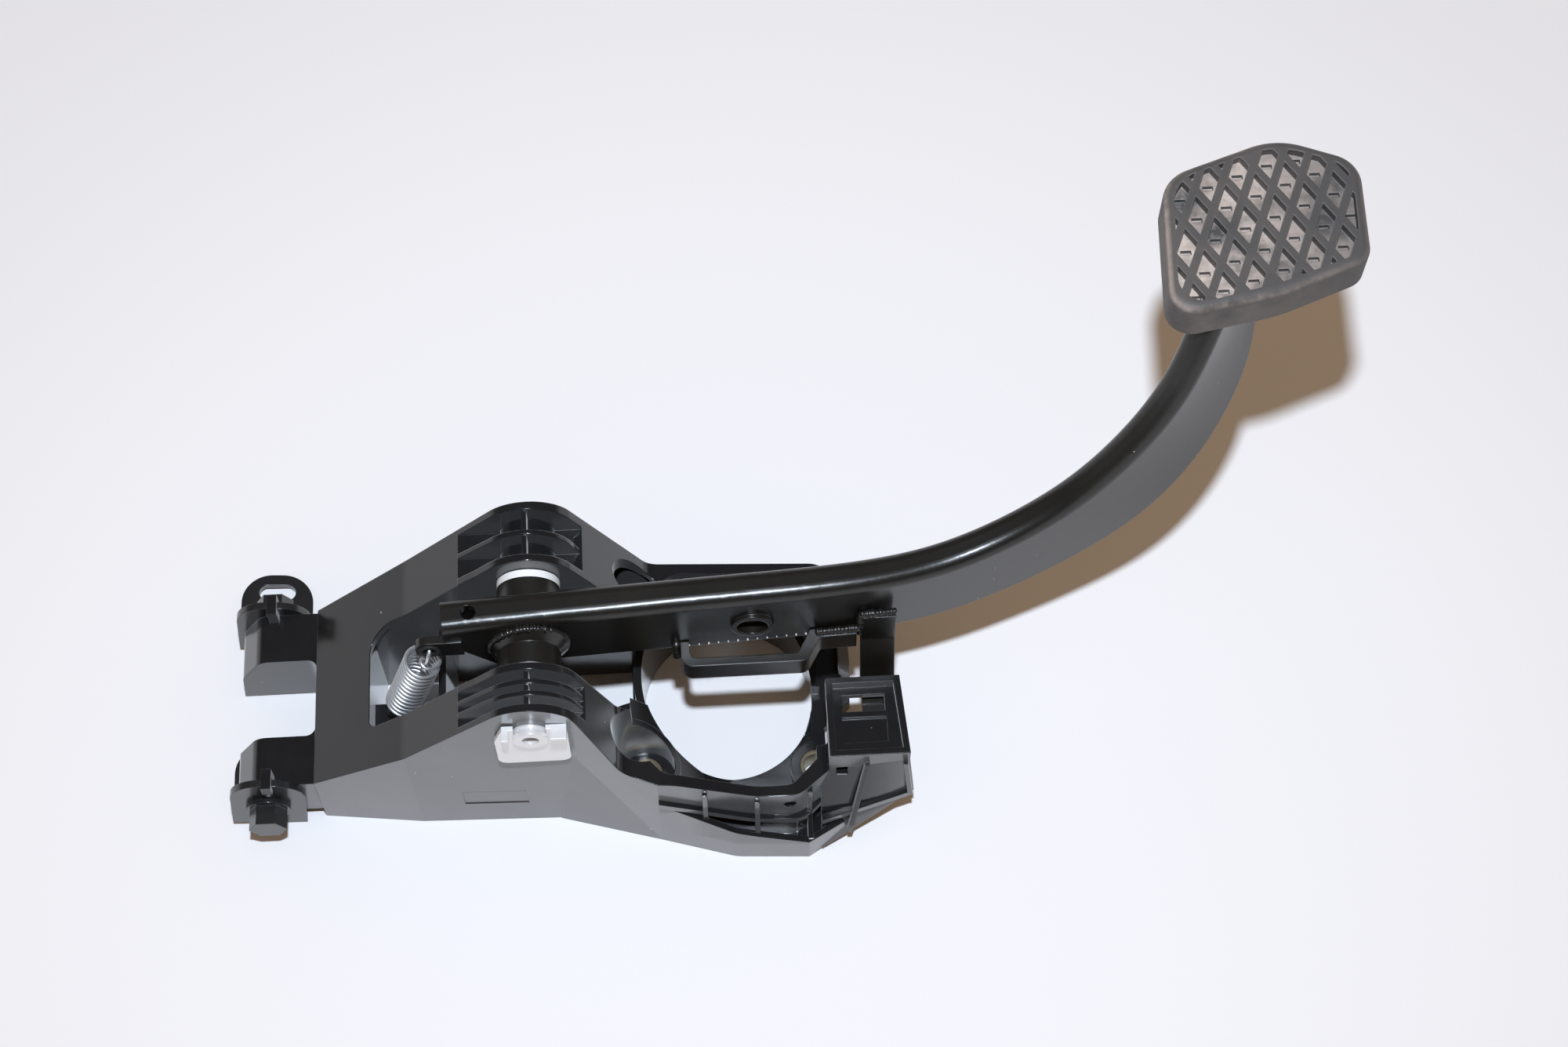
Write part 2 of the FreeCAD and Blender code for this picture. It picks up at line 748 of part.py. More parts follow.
def holder():
    """Open box of the brake light switch: rim, sunk panel with its slot, ribbed near wall."""
    x0 = holder_x
    x1 = holder_x + holder_width
    far_x1 = x1 - holder_taper

    def ring(inset, low, high):
        points = [
            (x0 + inset, holder_near_y + inset),
            (x1 - inset, holder_near_y + inset),
            (far_x1 - inset, holder_far_y - inset),
            (x0 + inset, holder_far_y - inset),
        ]
        return plan(points, low, high)

    plate_near = switch_plate_span()[0] - switch_plate_room
    box = ring(0.0, holder_low_z, holder_top_z)
    box = box.cut(ring(holder_wall, panel_top_z, deep)).cut(ring(holder_wall, 0.0, panel_low_z))
    middle = (x0 + far_x1) / 2
    slot_far = holder_far_y - holder_wall - holder_margin
    slot = block(
        middle - switch_slot[0] / 2, middle + switch_slot[0] / 2, slot_far - switch_slot[1], slot_far,
        panel_low_z - over, deep,
    )
    pocket_far = slot_far - switch_slot[1] - holder_wall
    sunk = block(
        middle - switch_pocket[0] / 2, middle + switch_pocket[0] / 2,
        pocket_far - switch_pocket[1], pocket_far,
        panel_top_z - switch_pocket_depth, deep,
    )
    under = across([
        (holder_near_y + holder_wall, 0.0),
        (holder_far_y + over, 0.0),
        (holder_far_y + over, panel_low_z),
        (plate_near, panel_low_z),
        (plate_near, panel_low_z - switch_gap - strap_sheet - switch_plate_room),
    ], x0 + holder_wall, x1 + over)
    box = box.cut(slot.fuse(sunk)).cut(under)
    foot_x = x0 - wall
    foot = [
        (foot_x, skirt_y(foot_x)),
        (x1 + holder_flare, skirt_y(x1 + holder_flare)),
        (x1 + holder_flare, skirt_y(x1 + holder_flare) + holder_wall),
        (foot_x, skirt_y(foot_x) + holder_wall),
    ]
    head = [
        (foot_x, holder_near_y),
        (x1, holder_near_y),
        (x1, holder_near_y + holder_wall),
        (foot_x, holder_near_y + holder_wall),
    ]
    lower = rounded(foot, lambda u, v: vec(u, v, skirt_low(u))).OuterWire
    upper = rounded(head, lambda u, v: vec(u, v, panel_low_z if u > x0 else lip_z - over)).OuterWire
    front = Part.makeLoft([lower, upper], True, True)
    ribs = []
    edge_x = x1 - fin_thickness
    for low_x, high_x in ((middle - holder_margin * 2, middle), (edge_x + holder_flare, edge_x)):
        start = (low_x, skirt_y(low_x) - bar_proud, skirt_low(low_x) + bar_height)
        end = (high_x, holder_near_y - bar_proud, panel_low_z)
        ribs.append(rail(start, end, fin_thickness, bar_proud + skin))
    share = 1 - holder_low_z / panel_low_z
    bar_x0 = x0 - wall
    bar_y0 = skirt_y(bar_x0) + (holder_near_y - skirt_y(bar_x0)) * (1 - share)
    bar = plan([
        (bar_x0, bar_y0 - bar_proud),
        (x1 + holder_flare * share, holder_near_y - bar_proud),
        (x1 + holder_flare * share, holder_near_y + skin),
        (bar_x0, bar_y0 + skin),
    ], holder_low_z, holder_low_z + bar_height)
    ribs.append(bar)
    hole_x = x0 + holder_wall
    hole = block(hole_x, hole_x + holder_hole, holder_near_y - over, holder_near_y + holder_wall + over,
                 panel_low_z - holder_hole * 2, panel_low_z - holder_hole)
    link = block(x0 - wall, x0 + skin, holder_near_y, holder_far_y, 0.0, holder_low_z + over)
    return [box.cut(hole), front.cut(hole), link] + ribs


def foot(turn):
    """Hollow foot at the bracket's left end, on one side, with the latch over its angle bracket."""
    y0, y1 = sorted((foot_inner_y * turn, foot_outer_y * turn))
    tilt = math.radians(angle_tilt)
    low = far_foot_low_z
    if turn < 0:
        leg_top = bolt_z - (angle_bottom - angle_thickness) * math.cos(tilt)
        low = leg_top + angle_width / 2 * math.sin(tilt) + foot_clearance
    joint_x = left_x + wall
    chamfer_z = foot_top_z - foot_chamfer_z
    chamfer_x = foot_left_x + foot_draft
    outline = [
        (foot_left_x, low),
        (chamfer_x, chamfer_z, foot_corner * 2),
        (chamfer_x + foot_chamfer_x, foot_top_z, foot_corner * 2),
        (joint_x, foot_top_z),
        (joint_x, low),
    ]
    face = rounded(outline, lambda u, v: vec(u, y0, v))
    solid = face.extrude(vec(0, y1 - y0, 0))
    hollow = [
        (foot_left_x + foot_wall, -over),
        (chamfer_x + foot_wall, chamfer_z),
        (chamfer_x + foot_chamfer_x + foot_wall / 2, foot_top_z - foot_wall),
        (left_x - foot_wall, foot_top_z - foot_wall),
        (left_x - foot_wall, -over),
    ]
    solid = solid.cut(side(hollow, y0 + foot_wall, y1 - foot_wall))
    outer = foot_outer_y * turn
    top = bolt_z + (angle_top + latch_width / 2 * math.tan(tilt)) / math.cos(tilt) + foot_clearance
    latch_x = bolt_x + angle_top * math.sin(tilt)
    face_y = outer + turn * (angle_thickness + foot_clearance)
    latch = [
        (outer - turn * foot_wall, foot_top_z - over),
        (outer - turn * foot_wall, top + latch_thickness),
        (face_y + turn * latch_reach, top + latch_thickness),
        (face_y + turn * latch_reach, top - latch_drop),
        (face_y, top - latch_drop),
        (face_y, top),
        (outer - turn * foot_clearance, top),
        (outer - turn * foot_clearance, foot_top_z - over),
    ]
    latch = across(latch, latch_x - latch_width / 2, latch_x + latch_width / 2)
    inner = outer - turn * (foot_wall + over)
    hole = rod(bolt_x, bolt_z, bolt_hole_radius, *sorted((inner, outer + turn)))
    inside = foot_inner_y * turn
    corner = [
        (left_x + skin, inside + turn * skin),
        (left_x - foot_blend, inside + turn * skin),
        (left_x - foot_blend, inside),
        (left_x, inside, foot_blend - skin),
        (left_x, inside - turn * foot_blend),
        (left_x + skin, inside - turn * foot_blend),
    ]
    blend = plan(corner, low, foot_top_z)
    return solid.multiFuse([latch, blend]).cut(hole)


def anchor():
    """Shelf and pin for the lower end of the spring, on the near inner wall."""
    top = anchor_z - anchor_drop
    shelf = block(
        window_x - skin, anchor_x + anchor_reach,
        near_inner_y - skin, anchor_y + anchor_reach,
        top - anchor_ledge, top,
    )
    return [shelf, rod(anchor_x, anchor_z, anchor_pin_radius, near_inner_y - skin, anchor_y + anchor_pin_end)]


def make_bracket():
    near_pocket, near_housing = housing(near_inner_y, -hump_half_width, near_fin_count)
    far_pocket, far_housing = housing(far_inner_y, hump_half_width, far_fin_count)
    window = plan([
        (window_x, near_inner_y, window_corner / 3),
        (throat_end_x - wall, near_inner_y),
        (throat_end_x - wall, far_inner_y),
        (window_x, far_inner_y, window_corner),
    ], -over, deep)
    well = plan(well_outline(), base_thickness, deep).fuse(post(0, 0, opening_radius, -over, deep))
    solid = shell().cut(window.multiFuse([well, near_pocket, far_pocket]))
    pieces = [solid] + inner_walls() + near_housing + far_housing + base() + ledge() + holder() + anchor()
    pieces += [throat(), toe()]
    pieces += [foot(-1), foot(1)]
    solid = fuse(pieces)
    cuts = [post(0, 0, opening_radius, -over, deep)]
    cuts.append(rod(pivot_x, pivot_z, bush_bore_radius, -deep, deep))
    for x in (-stud_x, stud_x):
        for y in (-stud_y, stud_y):
            cuts.append(post(x, y, sleeve_radius, -over, stud_boss_z + over))
    cuts.append(post(access_x, access_y, access_radius, stud_boss_z, deep))
    cuts.append(post(-stud_x, stud_y, nut_radius, stud_boss_z, deep))
    cuts.append(post(stud_x, -stud_y, stud_hole_radius + stud_way, stud_boss_z, lip_z))
    plate_near, plate_far = switch_plate_span()
    cuts.append(block(
        holder_x - lip_width, right_x, plate_near - switch_plate_room, plate_far + switch_plate_room,
        base_thickness, panel_low_z,
    ))
    cuts.append(rod(dimple_x, dimple_z, dimple_radius, near_y - over, near_y + wall / 2))
    half_x, half_z = label_size[0] / 2, label_size[1] / 2
    lean = (slope_half_width - hump_half_width) / (flare_x - slope_x)
    places = [(x, -slope_half_width + lean * (x - slope_x)) for x in (label_x - half_x, label_x + half_x)]
    frame = [(x, y - over) for x, y in places] + [(x, y + label_depth) for x, y in places[::-1]]
    cuts.append(plan(frame, label_z - half_z, label_z + half_z))
    return solid.cut(cuts[0].multiFuse(cuts[1:])).removeSplitter()


def make_sleeve(x, y):
    outer = post(x, y, sleeve_radius, 0.0, stud_boss_z)
    return outer.cut(post(x, y, stud_hole_radius, -over, stud_boss_z + over))


def make_angle(turn):
    """Angle bracket on a foot: upright plate against the foot, slotted leg along +Y, turned on its bolt."""
    inner = foot_outer_y * turn
    y0, y1 = sorted((inner, inner + turn * angle_thickness))
    half = angle_width / 2
    bottom = bolt_z - angle_bottom
    upright = [
        (bolt_x - half, bottom),
        (bolt_x - half, bolt_z + angle_top, angle_corner),
        (bolt_x + half, bolt_z + angle_top, angle_corner),
        (bolt_x + half, bottom),
    ]
    leg_end = y0 + leg_length
    leg = [
        (bolt_x - half, y0),
        (bolt_x + half, y0),
        (bolt_x + half, leg_end, angle_corner),
        (bolt_x - half, leg_end, angle_corner),
    ]
    solid = side(upright, y0, y1).fuse(plan(leg, bottom, bottom + angle_thickness)).removeSplitter()
    slot_y = leg_end - slot_inset
    half_slot = slot_length / 2 - slot_radius
    low = bottom - over
    high = bottom + angle_thickness + over
    ends = (bolt_x - half_slot, bolt_x + half_slot)
    slot = block(*ends, slot_y - slot_radius, slot_y + slot_radius, low, high)
    for x in ends:
        slot = slot.fuse(post(x, slot_y, slot_radius, low, high))
    solid = solid.cut(slot).cut(rod(bolt_x, bolt_z, bolt_hole_radius, y0 - over, y1 + over))
    solid.rotate(vec(bolt_x, 0, bolt_z), pin_axis, angle_tilt)
    return solid


def make_bolt(turn):
    seat = turn * (foot_outer_y + angle_thickness)
    tip = turn * (foot_outer_y + angle_thickness - bolt_length)
    flange_end = seat + turn * bolt_flange
    head_end = seat + turn * bolt_head
    flange = rod(bolt_x, bolt_z, bolt_flange_radius, *sorted((seat, flange_end)))
    head = hexagon_rod(bolt_x, bolt_z, bolt_flats, *sorted((seat, head_end)))
    shank = rod(bolt_x, bolt_z, bolt_radius, *sorted((tip, seat)))
    return fuse([flange, head, shank])


def make_nut(turn):
    seat = turn * (foot_outer_y - foot_wall)
    end = seat - turn * nut_height
    nut = hexagon_rod(bolt_x, bolt_z, nut_flats, *sorted((seat, end)))
    return nut.cut(rod(bolt_x, bolt_z, bolt_radius + running_fit, *sorted((seat + turn, end - turn))))


def make_pin():
    near_end = -hump_half_width - pin_proud
    far_end = hump_half_width
    groove_far = -hump_half_width
    groove_near = groove_far - plate_thickness
    shank = rod(pivot_x, pivot_z, pin_radius, near_end, far_end)
    head = rod(pivot_x, pivot_z, pin_head_radius, far_end, far_end + pin_head_thickness)
    ring = rod(pivot_x, pivot_z, pin_radius + over, groove_near, groove_far)
    ring = ring.cut(rod(pivot_x, pivot_z, pin_radius - plate_groove, groove_near, groove_far))
    bore = rod(pivot_x, pivot_z, pin_bore_radius, near_end - over, far_end + pin_head_thickness + over)
    return shank.fuse(head).cut(ring).cut(bore)


def make_retaining_plate():
    """Fork that slides down over the pin's groove, with two turned-out lips at its top."""
    back = -hump_half_width
    front = back - plate_thickness
    half = plate_width / 2
    outline = [
        (pivot_x - half + plate_notch, plate_top_z),
        (pivot_x - half, plate_top_z - plate_shoulder, plate_notch / 2),
        (pivot_x - half, plate_low_z, plate_corner),
        (pivot_x + half, plate_low_z, plate_corner),
        (pivot_x + half, plate_top_z),
    ]
    plate = side(outline, front, back)
    slot = pin_radius - plate_groove + running_fit
    gap = slot + plate_lip_gap
    for x0, x1 in ((pivot_x - half + plate_notch, pivot_x - gap), (pivot_x + gap, pivot_x + half)):
        lip = block(x0, x1, front - plate_lip, front, plate_top_z - plate_thickness, plate_top_z)
        plate = plate.fuse(lip)
    opening = block(pivot_x - slot, pivot_x + slot, front - over, back + over, pivot_z, deep)
    return plate.cut(opening).cut(rod(pivot_x, pivot_z, slot, front - over, back + over)).removeSplitter()


def make_bush(turn):
    """Flanged plastic bush in one end of the tube."""
    face = bush_far_y if turn > 0 else bush_near_y
    seat = face - turn * bush_flange
    tip = seat - turn * bush_length
    flange = rod(pivot_x, pivot_z, tube_radius, *sorted((face, seat)))
    sleeve = rod(pivot_x, pivot_z, tube_bore_radius, *sorted((seat, tip)))
    bore = rod(pivot_x, pivot_z, bush_bore_radius, *sorted((face + turn, tip - turn)))
    return fuse([flange, sleeve]).cut(bore)


def arm_frame(amount):
    """Point on the web's middle, with the directions along, across and up, at a share of the arm's length."""
    curve = Part.BSplineCurve()
    curve.interpolate([vec(*p) for p in arm_points])
    first = curve.FirstParameter
    place = first + (curve.LastParameter - first) * amount
    point = curve.value(place)
    along = curve.tangent(place)[0]
    lateral = vec(-along.y, along.x, 0)
    lateral.normalize()
    return point, along, lateral, along.cross(lateral)


def arm_section(amount):
    """Channel section of the arm: web up, flanges down, round at the two bends, deeper towards the pad."""
    point, along_arm, lateral, up = arm_frame(amount)
    half = (arm_width + (arm_end_width - arm_width) * amount) / 2
    depth = arm_depth + (arm_end_depth - arm_depth) * amount ** 2
    inner_bend = arm_bend - sheet
    points = [
        (-half, -depth),
        (-half, 0.0, arm_bend),
        (half, 0.0, arm_bend),
        (half, -depth),
        (half - sheet, -depth),
        (half - sheet, -sheet, inner_bend),
        (-half + sheet, -sheet, inner_bend),
        (-half + sheet, -depth),
    ]
    return rounded(points, lambda u, v: point + lateral * u + up * v).OuterWire


def arm_near_y(x):
    """Near face of the arm where its middle line passes x."""
    low, high = 0.0, 1.0
    while high - low > 1e-6:
        middle = (low + high) / 2
        if arm_frame(middle)[0].x < x:
            low = middle
        else:
            high = middle
    point, along_arm, lateral, up = arm_frame(low)
    return (point - lateral * ((arm_width + (arm_end_width - arm_width) * low) / 2)).y


def flange_y(x):
    """Outer face of the arm's near flange along its straight part."""
    (x0, y0, z0), (x1, y1, z1) = arm_points[0], arm_points[2]
    return y0 + (y1 - y0) * (x - x0) / (x1 - x0) - arm_width / 2


def make_arm():
    sections = [arm_section(i / arm_stations) for i in range(arm_stations + 1)]
    solid = Part.makeLoft(sections, True, False)
    end = block(-deep, deep, -deep, deep, pad_plate_low_z, deep)
    tail = arm_points[0][0]
    low_z = arm_top_z - arm_depth
    tail_cut_z = pivot_z + tail_cut_rise
    corner = side([
        (tail - over, low_z - over),
        (tail - over, tail_cut_z),
        (tail, tail_cut_z),
        (tail + tail_cut_x, low_z),
        (tail + tail_cut_x, low_z - over),
    ], -deep, deep)
    solid = solid.cut(end).cut(corner)
    near = flange_y(tab_x)
    tab = [
        (tail + tab_root, tab_z + tab_radius),
        (tab_x, tab_z + tab_radius),
        (tab_x - tab_radius, tab_z + tab_radius, tab_radius * 0.9),
        (tab_x - tab_radius, tab_z - tab_radius, tab_radius * 0.9),
        (tail + tab_root, tab_z - tab_radius),
    ]
    solid = solid.fuse(side(tab, near, near + sheet))
    face = flange_y(pushrod_x)
    collar_radius = pushrod_radius + pushrod_collar
    collar = rod(pushrod_x, pushrod_z, collar_radius, face - pushrod_collar_out, face + sheet / 2)
    solid = solid.fuse(collar).removeSplitter()
    cuts = rod(pushrod_x, pushrod_z, pushrod_radius, -deep, deep)
    cuts = cuts.fuse(rod(pivot_x, pivot_z, tube_radius, -deep, deep))
    cuts = cuts.fuse(rod(tab_x, tab_z, grommet_bore_radius + grommet_wall, near - over, near + sheet + over))
    hole_x = tail + tail_hole_run
    web = flange_y(hole_x) + arm_width / 2
    cuts = cuts.fuse(post(hole_x, web, tail_hole_radius, arm_top_z - sheet * 2, arm_top_z + over))
    return solid.cut(cuts)


def make_tube():
    """Pivot tube with the weld bead at the arm's near face."""
    tube = rod(pivot_x, pivot_z, tube_radius, tube_near_y, tube_far_y)
    face = flange_y(pivot_x)
    bead = Part.makeCone(
        tube_radius + weld_leg, tube_radius, weld_leg, vec(pivot_x, face - weld_gap, pivot_z), vec(0, -1, 0)
    )
    solid = tube.fuse(bead)
    return solid.cut(rod(pivot_x, pivot_z, tube_bore_radius, tube_near_y - over, tube_far_y + over))


def strap_outline(thick):
    """Plan outline of the strip on edge: leg, long side, leg, and a tail along the arm."""
    left = flange_y(strap_left_x)
    right = flange_y(strap_right_x)
    tail = flange_y(strap_tail_x) - strap_tail_gap
    out = min(left, right) - strap_reach
    return [
        (strap_left_x, left),
        (strap_left_x, out - thick, strap_bend),
        (strap_right_x, out - thick, strap_bend),
        (strap_right_x + thick * 1.6, right - thick, strap_bend * 0.5),
        (strap_tail_x, tail - thick),
        (strap_tail_x, tail),
        (strap_right_x + thick * 0.5, right, 1.0),
        (strap_right_x - thick, out, strap_bend - thick * 0.6),
        (strap_left_x + thick, out, strap_bend - thick * 0.6),
        (strap_left_x + thick, left),
    ]


def make_strap():
    return plan(strap_outline(strap_sheet), strap_low_z, strap_low_z + strap_height)


def switch_plate_span():
    """Near and far ends of the switch plate along Y."""
    face = arm_near_y(switch_plate_x - sheet / 2)
    return face - switch_plate_reach, face


def make_switch_plate():
    """Plate down from the arm and out under the switch holder."""
    out, face = switch_plate_span()
    t = strap_sheet
    low = panel_low_z - switch_gap
    top = pivot_z - switch_plate_drop
    bend = pivot_z - switch_bend_drop
    points = [
        (face, top),
        (face - t, top),
        (face - t, bend, switch_plate_round),
        (face - t - switch_plate_lean, low, switch_plate_round),
        (out, low),
        (out, low - t),
        (face - switch_plate_lean, low - t, switch_plate_round - skin * 2),
        (face, bend - skin * 2, switch_plate_round),
    ]
    return across(points, switch_plate_x, switch_plate_x + switch_plate_width)


def make_grommet():
    near = flange_y(tab_x)
    outer = grommet_bore_radius + grommet_wall
    body = rod(tab_x, tab_z, outer, near, near + sheet)
    lip = rod(tab_x, tab_z, outer + grommet_lip, near - grommet_lip, near)
    back = rod(tab_x, tab_z, outer + grommet_lip, near + sheet, near + sheet + grommet_lip)
    return fuse([body, lip, back]).cut(rod(tab_x, tab_z, grommet_bore_radius, near - sheet, near + sheet * 2))


def make_spring():
    """Close-wound tension spring as a fluted sleeve of its turns, with a ring at each end."""
    top = vec(tab_x, flange_y(tab_x) + sheet / 2, tab_z)
    pin = vec(anchor_x, anchor_y, anchor_z)
    line = top - pin
    below = anchor_pin_radius + spring_clearance + wire_radius
    low = pin - line.normalize() * below
    line = top - low
    length = line.Length
    pitch = wire_radius * 2 + coil_gap
    coil = pitch * coil_turns
    start = (length - coil) / 2
    edges = []
    for i in range(coil_turns):
        z0 = start + pitch * i
        crest = vec(coil_radius + wire_radius, 0, z0 + pitch / 2)
        arc = Part.Arc(vec(coil_radius, 0, z0), crest, vec(coil_radius, 0, z0 + pitch))
        edges.append(arc.toShape())
    inner = coil_radius - wire_radius
    corners = [
        vec(coil_radius, 0, start + coil),
        vec(inner, 0, start + coil),
        vec(inner, 0, start),
        vec(coil_radius, 0, start),
    ]
    for a, b in zip(corners, corners[1:]):
        edges.append(Part.LineSegment(a, b).toShape())
    solid = Part.Face(Part.Wire(edges)).revolve(vec(0, 0, 0), vec(0, 0, 1), 360)
    inward = wire_radius * 1.3
    lower = [Part.makeTorus(start / 2, wire_radius, vec(0, 0, start / 2), vec(0, 1, 0)), lead(start + inward)]
    upper = [
        Part.makeTorus(start / 2, wire_radius, vec(0, 0, length - start / 2), vec(1, 0, 0)),
        lead(start + coil - inward),
    ]
    solid = solid.multiFuse(lower + upper)
    solid.Placement = FreeCAD.Placement(low, FreeCAD.Rotation(vec(0, 0, 1), line))
    return solid


def lead(height):
    """Wire from the spring's middle line out to its turns."""
    out = Part.makeCylinder(wire_radius, coil_radius, vec(0, 0, height), vec(1, 0, 0))
    return out.fuse(Part.makeSphere(wire_radius, vec(0, 0, height)))


def pad_outline(inset):
    middle_x = sum(p[0] for p in pad_corners) / len(pad_corners)
    middle_y = sum(p[1] for p in pad_corners) / len(pad_corners)
    points = []
    for x, y, radius in pad_corners:
        away = math.hypot(x - middle_x, y - middle_y)
        share = (away - inset * 1.2) / away
        points.append((middle_x + (x - middle_x) * share, middle_y + (y - middle_y) * share, radius))
    return points


def make_pad_plate():
    return plan(pad_outline(pad_plate_inset), pad_plate_low_z, pad_plate_top_z)


def tread_pockets():
    """Diamond pockets of the pad's face, left between two sets of crossing ribs."""
    low = pad_top_z - pad_tread
    field = plan(pad_outline(tread_margin), low, pad_top_z + over)
    reach = pad_corners[3][0] - pad_corners[0][0]
    ribs = []
    for lean, pitch in zip(tread_leans, tread_pitches):
        for i in range(-tread_rows, tread_rows + 1):
            bar = block(-reach, reach, -tread_rib / 2, tread_rib / 2, low - over, pad_top_z + 2.0)
            bar.translate(vec(0, i * pitch, 0))
            bar.rotate(vec(0, 0, 0), vec(0, 0, 1), lean)
            bar.translate(vec(tread_x, tread_y, 0))
            ribs.append(bar)
    pockets = field.cut(ribs[0].multiFuse(ribs[1:]))
    kept = [s for s in pockets.Solids if s.Volume > pad_tread * tread_rib]
    slots = []
    for pocket in kept:
        if pocket.Volume > pad_tread * tread_slot_room:
            middle = pocket.CenterOfMass
            half_x, half_y = tread_slot[0] / 2, tread_slot[1] / 2
            slots.append(block(
                middle.x - half_x, middle.x + half_x, middle.y - half_y, middle.y + half_y,
                low - tread_slot_depth, low + skin,
            ))
    return kept + slots


def make_pad():
    solid = plan(pad_outline(0.0), pad_low_z, pad_top_z)
    edges = [e for e in solid.Edges if e.BoundBox.ZMin > pad_top_z - skin]
    solid = solid.makeFillet(pad_edge_round, edges)
    room = pad_plate_inset - pad_clearance
    seat = plan(pad_outline(room), pad_low_z - over, pad_plate_top_z + pad_clearance)
    return solid.cut(seat).cut(Part.makeCompound(tread_pockets()))


nodes = {
    "pedal_bracket": make_bracket(),
    "near_foot_bracket": make_angle(-1),
    "far_foot_bracket": make_angle(1),
    "near_foot_bolt": make_bolt(-1),
    "far_foot_bolt": make_bolt(1),
    "near_foot_nut": make_nut(-1),
    "far_foot_nut": make_nut(1),
    "near_left_stud_sleeve": make_sleeve(-stud_x, -stud_y),
    "near_right_stud_sleeve": make_sleeve(stud_x, -stud_y),
    "far_left_stud_sleeve": make_sleeve(-stud_x, stud_y),
    "far_right_stud_sleeve": make_sleeve(stud_x, stud_y),
    "pivot_pin": make_pin(),
    "pin_retaining_plate": make_retaining_plate(),
    "near_bush": make_bush(-1),
    "far_bush": make_bush(1),
    "pivot_tube": make_tube(),
    "pedal_arm": make_arm(),
    "pushrod_strap": make_strap(),
    "switch_actuator": make_switch_plate(),
    "spring_grommet": make_grommet(),
    "return_spring": make_spring(),
    "pad_plate": make_pad_plate(),
    "pedal_pad": make_pad(),
}

os.makedirs("parts", exist_ok=True)
for name, shape in nodes.items():
    print(name, len(shape.Solids), shape.isValid(), round(shape.Volume))
    shape.exportStep("parts/" + name + ".step")
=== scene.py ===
import math
import bpy
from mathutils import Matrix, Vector


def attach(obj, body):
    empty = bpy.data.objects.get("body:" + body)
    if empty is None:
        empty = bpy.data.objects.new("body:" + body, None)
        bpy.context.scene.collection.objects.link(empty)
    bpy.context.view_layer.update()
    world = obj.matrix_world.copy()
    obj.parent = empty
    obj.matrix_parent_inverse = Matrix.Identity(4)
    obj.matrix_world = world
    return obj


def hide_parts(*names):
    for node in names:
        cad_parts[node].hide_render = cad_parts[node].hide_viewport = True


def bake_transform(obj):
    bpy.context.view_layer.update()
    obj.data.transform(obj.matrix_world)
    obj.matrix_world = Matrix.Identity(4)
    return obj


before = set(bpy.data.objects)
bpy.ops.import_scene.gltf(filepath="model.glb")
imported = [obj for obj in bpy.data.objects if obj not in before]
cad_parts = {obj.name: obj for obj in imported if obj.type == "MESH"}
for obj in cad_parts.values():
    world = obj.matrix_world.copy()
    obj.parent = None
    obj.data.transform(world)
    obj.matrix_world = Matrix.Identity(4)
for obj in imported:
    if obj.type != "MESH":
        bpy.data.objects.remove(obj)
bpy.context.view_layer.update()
print("frame loaded,", len(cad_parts), "nodes")

milli = 0.001  # spring and welds are written in millimetres, the rest in metres


def metres(point):
    return Vector(point) * milli


# Helpers for node trees

def put(tree, kind, values=None, options=None):
    node = tree.nodes.new(kind)
    for name, value in (options or {}).items():
        setattr(node, name, value)
    for name, value in (values or {}).items():
        node.inputs[name].default_value = value
    return node


def join(tree, source, target):
    tree.links.new(source, target)


def newGroup(name, kind, inputs, outputs):
    tree = bpy.data.node_groups.new(name, kind)
    for label, socketType, value in inputs:
        socket = tree.interface.new_socket(name=label, in_out="INPUT", socket_type=socketType)
        if value is not None:
            socket.default_value = value
    for label, socketType in outputs:
        tree.interface.new_socket(name=label, in_out="OUTPUT", socket_type=socketType)
    return tree, put(tree, "NodeGroupInput"), put(tree, "NodeGroupOutput")


def useGroup(tree, group, values):
    node = put(tree, "ShaderNodeGroup")
    node.node_tree = group
    for name, value in values.items():
        node.inputs[name].default_value = value
    return node


def mathNode(tree, operation, first, second=None, clamp=False):
    node = put(tree, "ShaderNodeMath", options={"operation": operation, "use_clamp": clamp})
    for index, value in enumerate((first, second)):
        if value is None:
            continue
        if isinstance(value, (int, float)):
            node.inputs[index].default_value = value
        else:
            join(tree, value, node.inputs[index])
    return node.outputs[0]


def mixColour(tree, mask, first, second):
    node = put(tree, "ShaderNodeMix", options={"data_type": "RGBA"})
    join(tree, mask, node.inputs["Factor"])
    for name, value in (("A", first), ("B", second)):
        socket = [s for s in node.inputs if s.name == name and s.type == "RGBA"][0]
        if isinstance(value, tuple):
            socket.default_value = value + (1.0,)
        else:
            join(tree, value, socket)
    return [s for s in node.outputs if s.type == "RGBA"][0]


def span(tree, value, ends, least=0.0, smooth=True):  # least at the first end, 1 at the second
    node = put(tree, "ShaderNodeMapRange", {"From Min": ends[0], "From Max": ends[1], "To Min": least})
    node.interpolation_type = "SMOOTHSTEP" if smooth else "LINEAR"
    join(tree, value, node.inputs["Value"])
    return node.outputs["Result"]


# Shared effects as shader groups

